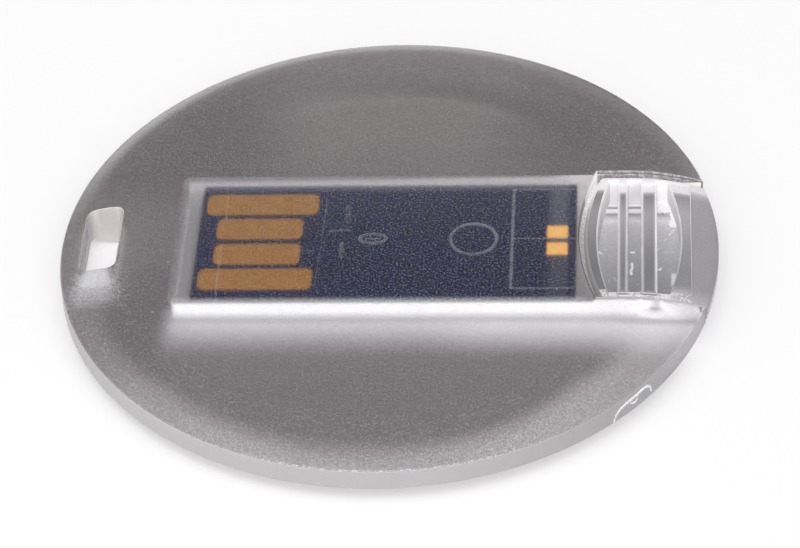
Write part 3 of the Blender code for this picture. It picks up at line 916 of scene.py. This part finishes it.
def gap_edge_pattern(tree):
    # painted shade towards the viewer, painted light at the far end
    return tree.axis("y").grey(
        ((-5.9, 0.14), (0.0, 0.16), (1.8, 0.30), (4.0, 0.62), (5.9, 0.95)), PALE_TINT)


def marks_haze(tree):
    """Uneven: stronger on the right and far sides."""
    x, y = tree.axes("xy")
    patchy = tree.noise(2.2, detail=3.0).ramp(0.35, 0.65, 0.55, 1.10)
    side = ((x - 5.2) * 0.5 + y * 0.35).ramp(-1.2, 1.2, 0.60, 1.0)
    return patchy * side * 0.42


def ceiling_haze(tree):
    """Clear over the board; around it, and beside its far side and right end, more haze as painted light."""
    x, y = tree.axes("xy")
    around = x.ramp(-11.70, -11.95).at_least(y.ramp(5.30, 5.55).at_least(y.ramp(-5.55, -5.75)))
    # painted light: more haze beside the board's far side and right end
    far = y.ramp(4.10, 5.35) * x.ramp(11.2, 10.6) * 0.34
    right = x.ramp(9.45, 10.20) * x.ramp(11.2, 10.6) * y.ramp(-6.0, 4.5, 0.4, 1.0) * 0.18
    return (around * 0.12).at_least(far.at_least(right)) + y.ramp(-1.0, 5.0, 0.004, 0.018)


def rim_edge_haze(tree):
    """Painted glints, fine and broken, along the rim's upper edge, over a painted sheen that grows towards the
    near side.
    """
    spark = tree.noise(6.0, detail=1.0, rough=0.5).ramp(0.52, 0.66)
    glints = spark * tree.toward(272).ramp(0.82, 0.97) * 0.45
    base = tree.toward(270).ramp(0.0, 0.6, 0.20, 0.38)
    return tree.math("ADD", glints, base, clamp=True)


def moulded_edge_haze(tree):
    return tree.noise(5.0).ramp(0.38, 0.60, 0.35, 0.90)


def disc_materials():
    """Material of each zone, in slot order; each glow is painted light in surfaces that are no lamp."""
    return {
        "top": plastic("frost_top", top_haze, (0.80, 0.785, 0.79), grain=0.9, bump_mm=0.008,
                       translucent=0.15, grains=0.22),
        "bottom": plastic("frost_bottom", haze=0.90, colour=bottom_pattern, grain=0.5,
                          translucent=0.25, speckle=0.6),
        "rim": plastic("frost_rim", haze=0.80, colour=rim_pattern, grain=0.6, translucent=0.2,
                       speckle=0.4),
        "ceiling": plastic("frost_ceiling", ceiling_haze, (0.7, 0.7, 0.72), rough=0.05),
        "wall_near": plastic("wall_near_side", haze=0.95, colour=near_pattern, grain=0.3,
                             translucent=0.5, glow=0.95),
        "wall_far": plastic("wall_far_side", haze=0.90, colour=far_pattern, grain=0.6,
                            glow=0.58, speckle=0.5),
        "wall_end": plastic("wall_end", haze=0.80, colour=(0.62, 0.60, 0.61), glow=0.06),
        "slot": plastic("slot_wall", haze=0.90, colour=slot_pattern, translucent=0.4,
                        glow=0.17, speckle=0.3),
        "marks": plastic("mould_marks", marks_haze, (0.85, 0.86, 0.92), grain=0.6),
        "edge": plastic("moulded_edge", moulded_edge_haze, (0.66, 0.64, 0.65), rough=0.2,
                        glow=0.10),
        "slot_near": plastic("slot_near_wall", haze=0.95, colour=slot_near_pattern, grain=0.6,
                             translucent=0.5, glow=0.36),
        "slot_line": plastic("slot_parting_line", haze=0.9, colour=slot_line_pattern, grain=0.0),
        "rim_edge": plastic("rim_edge", rim_edge_haze, (0.84, 0.83, 0.84), rough=0.15,
                            grain=1.0, bump_mm=0.02, fine=6.0, glow=0.05),
        "dimple": plastic("pivot_dimple", haze=0.95, colour=dimple_pattern, glow=0.72),
        "wall_notch": plastic("wall_notch_far", haze=0.90, colour=notch_pattern, grain=0.6,
                              glow=0.15, speckle=0.5),
        "gap": plastic("hinge_gap_wall", haze=0.90, colour=gap_pattern, glow=0.45, speckle=0.3),
        "gap_edge": plastic("hinge_gap_edge", haze=0.88, colour=gap_edge_pattern, glow=0.10,
                            speckle=0.3),
        "edge_near": plastic("moulded_edge_near", haze=0.90, colour=(0.80, 0.78, 0.77),
                             grain=0.3, glow=0.16, speckle=0.3),
        "marks_faint": plastic("mould_marks_faint", haze=0.15, colour=(0.85, 0.86, 0.92),
                               grain=0.6),
    }


# ------------------------------------------------------------------ swing arm
def arm_blank():
    """The hinge block, a grid that follows the disc's faces a little below them."""
    bm = bmesh.new()
    top, low = [], []
    inset = ARM_W - BLOCK_CHAMFER
    for y in [-ARM_W] + spaced(-inset, inset, 34) + [ARM_W]:
        x0 = arc_left(BLOCK_APEX, BLOCK_R, y)
        x1 = math.sqrt(DISC_R * DISC_R - y * y)
        xs = [x0] + spaced(x0 + 0.20, STEP_X - 0.02, 30)
        xs += spaced(STEP_X + 0.02, x1 - BLOCK_CHAMFER, 7) + [x1]
        at_side = abs(y) > ARM_W - BLOCK_CHAMFER / 2
        top_row, low_row = [], []
        for k, x in enumerate(xs):
            z = height_at(x, y)
            chamfer = 0.0
            if at_side or k in (0, len(xs) - 1):
                chamfer = 0.17 if k == 0 else BLOCK_CHAMFER
            drop = 0.30 + (0.05 if x > STEP_X else 0.0)
            top_row.append(bm.verts.new((x, y, z - drop - chamfer)))
            low_row.append(bm.verts.new((x, y, -(z - 0.08 - chamfer * 0.8))))
        top.append(top_row)
        low.append(low_row)
    last = len(top[0]) - 1
    for j in range(len(top) - 1):
        near, far, low_near, low_far = top[j], top[j + 1], low[j], low[j + 1]
        for i in range(last):
            bm.faces.new((near[i], near[i + 1], far[i + 1], far[i]))
            bm.faces.new((low_near[i], low_far[i], low_far[i + 1], low_near[i + 1]))
        bm.faces.new((near[0], far[0], low_far[0], low_near[0]))
        bm.faces.new((near[last], low_near[last], low_far[last], far[last]))
    bm.faces.new((top[0] + low[0][::-1])[::-1])
    bm.faces.new(top[-1] + low[-1][::-1])
    return new_object("arm_shell", bm)


def cut_wells(arm):
    """Three wells in the hinge block, parted by two low ribs."""
    flare = 0.13
    rib_y0, rib_y1 = WELL_Y0 + 0.16, WELL_Y1 - 0.16
    (rib_a0, rib_a1), (rib_b0, rib_b1) = RIBS
    ys = spaced(WELL_Y0, WELL_Y1, 28)
    left = [(arc_left(12.73, 20.0, y), y) for y in ys]
    right = [(arc_right(17.70, 18.0, y), y) for y in ys]

    def side_up(x):
        return [(x, WELL_Y0), (x, rib_y0), (x, rib_y1), (x, WELL_Y1)]

    wells = (
        left[::-1] + side_up(rib_a0),
        [(rib_a1, WELL_Y0)] + side_up(rib_b0) + side_up(rib_a1)[:0:-1],
        [(rib_b1, WELL_Y0)] + right + side_up(rib_b1)[:0:-1],
    )
    rib_sides = (rib_a0, rib_a1, rib_b0, rib_b1)
    for k, outline in enumerate(wells):
        tops = []
        for x, y in outline:
            on_rib = any(abs(x - side) < 1e-6 for side in rib_sides)
            if on_rib and WELL_Y0 + 0.01 < y < WELL_Y1 - 0.01:
                tops.append(RIB_TOP)
            else:
                tops.append(height_at(x, y) - 0.30)
        bm = flared(outline, (
            (0, WELL_FLOOR),
            (0, [z - flare for z in tops]),
            (flare, [z + 0.01 for z in tops]),
            (flare, 3.0)))
        bmesh.ops.triangulate(bm, faces=[face for face in bm.faces if len(face.verts) == 4])
        cut(arm, "c_well%d" % k, bm)
    cut(arm, "c_rib", box(13.5, 16.6, WELL_Y0 + 0.04, WELL_Y1 - 0.04, RIB_TOP, 3.05))
    # low step across the two left wells, near their far wall
    step = [(12.9, 4.13), (15.6, 4.13), (15.6, 4.68), (12.9, 4.68)]
    cut(arm, "c_step", flared(step, ((0, -0.62), (0, -0.42), (-0.05, -0.37))), "UNION")


def arm_zone(centre, normal):
    x, y, z = centre
    if x < 11.46:
        if normal.z > 0.3 and z > 0.5:
            return "tray_rim"
        return "tray_wall" if z > TRAY_FLOOR + 0.05 and abs(normal.z) < 0.5 else "tray"
    sloped = 0.30 < normal.z < 0.90
    upright = abs(normal.z) < 0.5
    if sloped and math.hypot(x, y) > DISC_R - 0.12:
        return "frost"
    if sloped and normal.x < -0.3 and z > 0.7 and x < arc_left(BLOCK_APEX, BLOCK_R, y) + 0.25:
        return "edge_left"
    if sloped and z > -0.55 and x > 11.8:
        return "edge"
    if 11.46 < x < 13.2 and 0.5 < z < 0.62 and normal.z > 0.9:
        return "tray_rim"
    if upright and normal.x > 0.6 and 12.5 < x < 13.6 and z > -0.5:
        return "flank_left"
    if upright and normal.x < -0.6 and 16.6 < x < 17.9 and z > -0.5:
        return "flank_right"
    if normal.z < -0.5 and z < -0.4:
        return "under"
    if normal.z > 0.9 and -0.5 < z < -0.3:
        return "floor"
    if x > STEP_X - 0.01 and normal.z > 0.3:
        return "frost"
    if abs(normal.y) > 0.7 and abs(y) < 5.3 and z > -0.5:
        return "wall"
    if normal.z > 0.7 and z > 0.5:
        if y > WELL_Y1:
            return "rail_far"
        return "rail_near" if y < WELL_Y0 else "rib"
    return "clear"


def build_arm():
    arm = arm_blank()
    bar = rounded(TRAY_X0, 14.5, -ARM_W + 0.001, ARM_W - 0.001, 0.45, 6)
    cut(arm, "c_bar", flared(bar, (
        (-0.07, TRAY_BOTTOM), (0, TRAY_BOTTOM + 0.07), (0, TRAY_TOP - 0.05),
        (-0.05, TRAY_TOP))), "UNION")
    cavity = rounded(-11.67, 11.42, -5.38, 5.38, 0.12, 3)
    cut(arm, "c_cavity", flared(cavity, (
        (0, TRAY_FLOOR), (0, TRAY_TOP - 0.05), (0.05, TRAY_TOP + 0.002), (0.05, 3.0))))
    pin_in, pin_out = ARM_W - 1.0, 6.15
    cut(arm, "c_pin_far", pivot_cylinder(0.70, pin_in, pin_out, rounding=0.15), "UNION")
    cut(arm, "c_pin_near", pivot_cylinder(0.70, -pin_out, -pin_in, rounding=0.15), "UNION")
    cut_wells(arm)
    settle(arm)

    assign_zones(arm, arm_materials(), arm_zone)
    shade_weighted(arm)
    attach(arm, "arm")
    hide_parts("swing_arm")


# ------------------------------------------------------------------ arm materials
# brightness of the well floors, painted light with bright painted lines near the far wall: (y, grey)
FLOOR_GREYS = (
    (-5.2, 0.25), (-3.0, 0.28), (-1.0, 0.35), (1.0, 0.46), (2.4, 0.54), (3.0, 0.62),
    (3.4, 0.76), (3.75, 0.56), (4.0, 0.34), (4.14, 0.36), (4.21, 0.95), (4.40, 0.95),
    (4.48, 0.34), (4.62, 0.36), (4.78, 0.70), (4.84, 1.0), (4.93, 1.0), (4.98, 0.80),
    (5.2, 0.80),
)
# brightness of the rib tops, painted light and shade: (y, grey)
RIB_GREYS = (
    (-5.2, 0.24), (-3.0, 0.22), (-1.0, 0.27), (1.2, 0.38), (2.3, 0.42), (3.2, 0.35),
    (4.0, 0.27), (4.25, 0.42), (4.5, 0.95), (5.2, 1.0),
)
# scratches and chips in plan: start, end, width, strength
FLOOR_SCRATCHES = (
    ((12.64, 0.56), (12.94, 0.32), 0.07, 1.0),
    ((13.00, 0.69), (13.33, 0.71), 0.05, 0.5),
    ((16.30, 1.81), (16.36, 1.80), 0.06, 0.5),
    ((16.30, 0.72), (16.40, 0.74), 0.06, 0.8),
    ((17.01, 1.98), (17.32, 2.55), 0.06, 0.8),
    ((16.71, 1.47), (16.86, 1.65), 0.06, 0.6),
    ((16.64, 0.43), (17.25, 0.43), 0.05, 0.45),
    ((16.30, -1.24), (16.48, -1.06), 0.06, 0.9),
    ((13.68, -1.87), (13.80, -2.24), 0.05, 0.5),
    ((12.9, -1.3), (13.0, -1.5), 0.05, 0.3),
    ((15.0, -2.6), (15.2, -2.5), 0.05, 0.3),
)
FLOOR_CHIPS = (
    ((14.74, 0.42), (14.86, 0.40), 0.14, 1.0),
    ((14.76, -0.62), (14.78, -0.95), 0.11, 1.0),
    ((14.78, -1.0), (14.70, -1.35), 0.12, 0.9),
    ((14.70, -1.4), (14.72, -1.62), 0.13, 1.0),
    ((12.62, 0.52), (12.96, 0.28), 0.08, 0.9),
    ((16.44, -1.26), (16.52, -1.10), 0.08, 0.9),
)


def floor_pattern(tree):
    """Bright at the far end, where light comes through the hinge stub, falling to the near end."""
    x, y = tree.axes("xy")
    colour = y.grey(FLOOR_GREYS, (0.99, 0.98, 1.01))
    wobble = (tree.noise(1.6) - 0.5) * 1.6
    wavy_x, wavy_y = x + wobble * 0.4, y + wobble
    far_glare = wavy_y.ramp(3.95, 4.20) * x.ramp(16.2, 16.4)
    right_glare = wavy_x.ramp(17.0, 17.1) * wavy_y.ramp(2.4, 2.8)
    near_glare = (x.ramp(17.05, 17.2) * x.ramp(17.6, 17.5) * y.ramp(-2.95, -2.4)
                  * y.ramp(-1.4, -1.8) * 0.6)
    glare = far_glare.at_least(right_glare).at_least(near_glare)
    broken = tree.noise(7.0).ramp(0.38, 0.56, 0.25, 1.0)
    cuts = tree.scratches(FLOOR_SCRATCHES) * broken
    dust = tree.noise(4.5, detail=3.0, rough=0.65, stretch=(1.0, 0.45, 1.0))
    dust = dust.ramp(0.62, 0.76, 0.0, 0.5)
    marks = cuts.at_least(tree.scratches(FLOOR_CHIPS)).at_least(dust)
    return glare.at_least(marks).mix(colour, (0.97, 0.97, 1.0, 1))


def wall_pattern(tree):
    """Pale, and white where the pivot stub glares through beside the right rib."""
    return tree.axis("x").ramp(16.2, 16.5).mix((0.88, 0.86, 0.89, 1), (1.0, 1.0, 1.0, 1))


def edge_haze(tree):
    """Soft, slightly uneven highlights along the moulded edges."""
    return tree.noise(0.7, rough=0.5).ramp(0.35, 0.62, 0.74, 0.92)


def edge_pattern(tree):
    """Painted light: the right rib's edge is the brightest; all fade towards the viewer."""
    x, y = tree.axes("xy")
    colour = y.grey(((-5.2, 0.52), (-2.5, 0.60), (0.5, 0.74), (3.0, 0.86), (5.2, 1.0)), PALE_TINT)
    bright = x.ramp(16.08, 16.14) * x.ramp(16.40, 16.34) * y.ramp(-4.5, -1.0, 0.5, 1.0)
    return bright.mix(colour, (1.0, 0.99, 1.0, 1))


def edge_left_pattern(tree):
    # painted light, brightest at the far end and fading towards the viewer
    return tree.axis("y").grey(
        ((-5.6, 0.32), (-3.0, 0.36), (0.0, 0.41), (2.5, 0.60), (4.6, 0.92), (5.6, 1.0)),
        PALE_TINT)


def flank_pattern(tree):
    """Painted light: pale at the far end, closer to the floor's grey nearer the viewer."""
    return tree.axis("y").grey(
        ((-5.2, 0.30), (0.0, 0.44), (1.8, 0.60), (3.6, 0.78), (5.2, 0.84)), PALE_TINT)


def rail_far_pattern(tree):
    # painted light, brightest towards the right end
    return tree.axis("x").grey(
        ((12.0, 0.93), (15.8, 0.90), (17.2, 1.0), (19.0, 1.0)), (1.0, 0.99, 1.0))


def rib_pattern(tree):
    """Painted light and shade: dark tops with softly lit borders, white at the far ends."""
    x, y = tree.axes("xy")
    colour = y.grey(RIB_GREYS, (0.99, 0.975, 0.99))
    left_shade = x.ramp(13.7, 13.4) * y.ramp(4.2, 3.6) * 0.18
    colour = left_shade.mix(colour, (0.05, 0.05, 0.05, 1))
    # painted light towards the right rib's near end and over the right side
    near_right_light = x.ramp(16.45, 16.9) * y.ramp(-4.1, -5.2) * 0.75
    colour = near_right_light.mix(colour, (0.62, 0.61, 0.63, 1))
    right_light = x.ramp(16.45, 16.9) * 0.12
    colour = right_light.mix(colour, (0.75, 0.74, 0.77, 1))
    borders = reduce(Value.at_least, [
        abs(x - border).ramp(0.13, 0.0) for border in (14.00, 14.43, 15.42, 16.18)])
    return (borders * 0.50).mix(colour, (0.85, 0.84, 0.86, 1))


def frost_pattern(tree):
    # painted light, lighter at the near edge and brightest at the far end
    return tree.axis("y").grey(
        ((-5.6, 0.54), (-5.0, 0.46), (-4.2, 0.36), (0.0, 0.37), (4.0, 0.40), (4.5, 0.52),
         (5.0, 0.95), (5.6, 1.0)), (1.0, 0.98, 1.0))


def rail_near_pattern(tree):
    """Speckled top with the ribs' ends running into it, and bright broken lines: painted highlights along its
    edges.
    """
    x, y = tree.axes("xy")
    speckle = tree.noise(5.0)
    colour = speckle.ramp(0.42, 0.60).mix((0.56, 0.54, 0.54, 1), (0.84, 0.83, 0.84, 1))
    left_rib = x.ramp(13.86, 13.94) * x.ramp(14.57, 14.49)
    right_rib = x.ramp(15.28, 15.36) * x.ramp(16.32, 16.24)
    rib_ends = left_rib.at_least(right_rib) * y.ramp(-5.42, -5.34) * 0.85
    colour = rib_ends.mix(colour, (0.27, 0.26, 0.28, 1))
    inner_line = (y.ramp(-5.26, -5.22) * y.ramp(-5.14, -5.18) * speckle.ramp(0.36, 0.50)
                  * x.ramp(17.0, 16.6))
    outer_line = (y.ramp(-5.52, -5.47) * y.ramp(-5.38, -5.43) * speckle.ramp(0.36, 0.52)
                  * x.ramp(16.6, 15.8))
    colour = inner_line.at_least(outer_line).mix(colour, (0.98, 0.98, 1.0, 1))
    # painted light on the rail beside the right well
    pale = x.ramp(16.45, 16.75) * x.ramp(17.9, 17.3) * 0.65
    colour = pale.mix(colour, (0.93, 0.92, 0.94, 1))
    right_specks = x.ramp(16.9, 17.4) * speckle.ramp(0.60, 0.44) * 0.25
    return right_specks.mix(colour, (0.36, 0.35, 0.37, 1))


def tray_rim_pattern(tree):
    """Painted light: pale along the far side, and brightening sooner beside the hinge."""
    colour = tree.axis("y").grey(
        ((-5.6, 0.30), (-3.0, 0.30), (3.0, 0.33), (4.6, 0.56), (5.3, 0.86), (5.6, 1.0)),
        (1.0, 0.985, 0.99))
    gap = tree.axis("y").grey(
        ((-5.6, 0.36), (-2.0, 0.43), (1.0, 0.52), (3.0, 0.76), (4.4, 1.0), (5.6, 1.0)),
        (1.0, 0.98, 0.985))
    side = tree.axis("y").grey(
        ((-5.6, 0.33), (-2.0, 0.37), (1.0, 0.42), (3.0, 0.60), (4.3, 0.92), (5.6, 1.0)),
        (1.0, 0.985, 0.99))
    left_end = tree.axis("x").ramp(-11.75, -12.25, 0.0, 0.22)
    colour = left_end.mix(colour, (0.75, 0.74, 0.745, 1))
    colour = tree.axis("x").ramp(10.25, 10.55).mix(colour, side)
    return tree.axis("x").ramp(11.43, 11.47).mix(colour, gap)


def arm_materials():
    """Material of each zone, in slot order; each glow is painted light in surfaces that are no lamp."""
    return {
        "clear": plastic("arm_clear", haze=0.10, colour=(0.8, 0.8, 0.82), rough=0.05,
                         grain=0.12, bump_mm=0.003, fine=2.0),
        "under": plastic("arm_underside", haze=0.80, colour=(0.42, 0.41, 0.43), rough=0.2),
        "floor": plastic("arm_well_floor", haze=0.80, colour=floor_pattern, rough=0.15,
                         grain=0.8, fine=5.0, translucent=0.2, glow=0.20, speckle=0.3),
        "frost": plastic("arm_frosted_strip", haze=0.80, colour=frost_pattern, rough=0.25,
                         grain=1.0, translucent=0.2, speckle=0.3),
        "tray": plastic("arm_tray", haze=0.45, colour=(0.46, 0.44, 0.45), rough=0.15, grain=0.3),
        "wall": plastic("arm_well_wall", haze=0.92, colour=wall_pattern, rough=0.2, grain=0.3,
                        glow=0.42, speckle=0.3),
        "edge": plastic("arm_edge", edge_haze, edge_pattern, rough=0.25, glow=0.24,
                        speckle=0.2),
        "rib": plastic("arm_rib", haze=0.85, colour=rib_pattern, rough=0.12, translucent=0.2,
                       speckle=0.3),
        "rail_far": plastic("arm_rail_far", haze=0.88, colour=rail_far_pattern, rough=0.15,
                            glow=0.20, speckle=0.3),
        "rail_near": plastic("arm_rail_near", haze=0.82, colour=rail_near_pattern, rough=0.15,
                             grain=0.6, glow=0.06),
        "tray_rim": plastic("arm_tray_rim", haze=0.85, colour=tray_rim_pattern, rough=0.15,
                            grain=0.3, translucent=0.2, glow=0.29),
        "tray_wall": plastic("arm_tray_wall", haze=0.60, colour=(0.60, 0.58, 0.60), rough=0.15,
                             grain=0.3),
        "edge_left": plastic("arm_edge_left", edge_haze, edge_left_pattern, rough=0.25,
                             glow=0.14, speckle=0.2),
        "flank_left": plastic("arm_well_flank_left", haze=0.90, colour=flank_pattern, rough=0.2,
                              grain=0.3, glow=0.34, speckle=0.3),
        "flank_right": plastic("arm_well_flank_right", haze=0.86, colour=flank_pattern,
                               rough=0.2, grain=0.3, glow=0.26, speckle=0.3),
    }


# ------------------------------------------------------------------ module
def solid(name, colour, rough, metallic=0.0, vary=0.06, per_mm=3.0, bump=0.2, specular=0.5,
          glow=0.0):
    """Opaque material; vary is its share of light and dark patches, per_mm their frequency."""
    tree = Material(name)
    fine = tree.noise(per_mm * 6, rough=0.5)
    patches = tree.noise(per_mm, detail=4.0, rough=0.55).ramp(0.35, 0.65)
    base = mottled(patches, colour, vary)
    inputs = {
        "Base Color": base,
        "Roughness": fine.ramp(0.3, 0.7, max(0.02, rough - 0.08), min(1, rough + 0.08)),
        "Metallic": metallic,
        "Specular IOR Level": specular,
        "Normal": tree.bump(fine, bump, distance_mm=0.004),
    }
    if glow > 0:
        inputs.update({"Emission Color": base, "Emission Strength": glow})
    return tree.finish(tree.node("ShaderNodeBsdfPrincipled", inputs).outputs[0])


SOLIDS = {
    "solder_mask": dict(colour=(0.005, 0.010, 0.076), rough=0.45, vary=0.25, per_mm=1.2,
                        bump=0.3, specular=0.2),
    "gold_plating": dict(colour=(0.74, 0.345, 0.075), rough=0.50, metallic=0.15, vary=0.08,
                         per_mm=1.5, bump=0.25, specular=0.3),
    # the LED pads' gold: a lighter copy with emission, painted light to make them brighter
    "gold_bright": dict(colour=(0.98, 0.50, 0.10), rough=0.45, vary=0.05, per_mm=1.5, glow=0.70),
    "epoxy": dict(colour=(0.013, 0.013, 0.014), rough=0.55, vary=0.2, per_mm=5.0, bump=0.5),
    "adhesive": dict(colour=(0.60, 0.58, 0.50), rough=0.6, per_mm=1.0),
    "silicon": dict(colour=(0.10, 0.10, 0.12), rough=0.16, metallic=0.7, vary=0.15, per_mm=0.8,
                    bump=0.05),
    "attach_film": dict(colour=(0.35, 0.28, 0.16), rough=0.7, vary=0.1, per_mm=2.0),
    "capacitor_ceramic": dict(colour=(0.42, 0.30, 0.18), rough=0.5, vary=0.12, per_mm=4.0),
    "resistor_ceramic": dict(colour=(0.03, 0.03, 0.03), rough=0.45, vary=0.2, per_mm=4.0),
    "crystal_lid": dict(colour=(0.55, 0.54, 0.50), rough=0.3, metallic=1.0, vary=0.05,
                        per_mm=2.0),
}


def dress_module():
    """Gives the module's CAD pieces their materials and bevels the gold ones."""
    materials = {name: solid(name, **look) for name, look in SOLIDS.items()}
    for part in frame["record"]["subparts"]:
        node, slot = part["node"], part["material_slot"]
        if slot not in materials:
            continue
        obj = frame["nodes"][node]
        obj.data.materials.clear()
        # the LED pads take the gold with painted glow
        look = "gold_bright" if node.startswith("led_pad") else slot
        obj.data.materials.append(materials[look])
        if slot == "gold_plating":
            bevel = obj.modifiers.new("edge", "BEVEL")
            bevel.width = 0.012 * MM
            bevel.segments = 2
            bevel.limit_method = "ANGLE"
            bevel.angle_limit = math.radians(40)


# ------------------------------------------------------------------ stage, light and camera
def build_floor():
    bpy.ops.mesh.primitive_plane_add(size=4.0, location=(0, 0, -TOP * MM - 0.00001))
    floor = bpy.context.object
    floor.name = "floor"
    paper = Material("floor_paper")
    diffuse = paper.node("ShaderNodeBsdfDiffuse", {"Color": (0.86, 0.86, 0.86, 1)})
    floor.data.materials.append(paper.finish(diffuse.outputs[0]))


def build_world(scene, bright=0.70, dim=0.16):
    """A light tent: bright overhead and at the near side, dim low at the far side."""
    world = bpy.data.worlds.new("studio")
    scene.world = world
    world.use_nodes = True
    tree = Tree(world.node_tree)
    background = world.node_tree.nodes["Background"]
    tree.put(background.inputs[0], (1.0, 0.99, 1.0, 1))
    direction = tree.split(tree.node("ShaderNodeTexCoord").outputs["Generated"])
    behind = direction[1].ramp(0.15, 0.50) * direction[2].ramp(0.98, 0.80)
    tree.put(background.inputs[1], bright - behind * (bright - dim))


def area_light(scene, name, location, size, power):
    """Rectangular lamp aimed at the origin; metres and watts."""
    light = bpy.data.lights.new(name, "AREA")
    light.shape = "RECTANGLE"
    light.size, light.size_y = size
    light.energy = power
    obj = bpy.data.objects.new(name, light)
    obj.location = location
    obj.rotation_euler = (-Vector(location)).to_track_quat("-Z", "Y").to_euler()
    scene.collection.objects.link(obj)


def build_camera(scene):
    """Long lens, looking down on the disc from the near side."""
    data = bpy.data.cameras.new("camera")
    camera = bpy.data.objects.new("camera", data)
    scene.collection.objects.link(camera)
    right = (0.99768588, 0.04857603, -0.04757363)
    up = (0.00433407, 0.652838, 0.75748515)
    back = (0.0678535, -0.75593843, 0.65111673)
    pose = Matrix((right, up, back)).transposed().to_4x4()
    pose.translation = (0.01584, -0.16995, 0.14464)
    camera.matrix_world = pose
    data.sensor_width = 36.0
    data.sensor_fit = "HORIZONTAL"
    data.lens = 165.3525
    data.clip_start = 0.01
    data.clip_end = 10.0
    scene.camera = camera


def set_render(scene):
    scene.view_settings.view_transform = "Standard"
    scene.view_settings.look = "None"
    scene.cycles.caustics_reflective = False
    scene.cycles.caustics_refractive = False
    scene.cycles.max_bounces = 16
    scene.cycles.transmission_bounces = 14
    scene.cycles.transparent_max_bounces = 24
    scene.cycles.use_denoising = True


build_disc()
build_gate()
build_arm()
dress_module()

build_floor()
main_scene = bpy.context.scene
build_world(main_scene)
area_light(main_scene, "overhead_softbox", location=(-0.10, -0.14, 0.60), size=(0.45, 0.30),
           power=2.3)
area_light(main_scene, "front_fill", location=(0.20, -0.40, 0.45), size=(0.40, 0.40), power=0.6)
build_camera(main_scene)
set_render(main_scene)
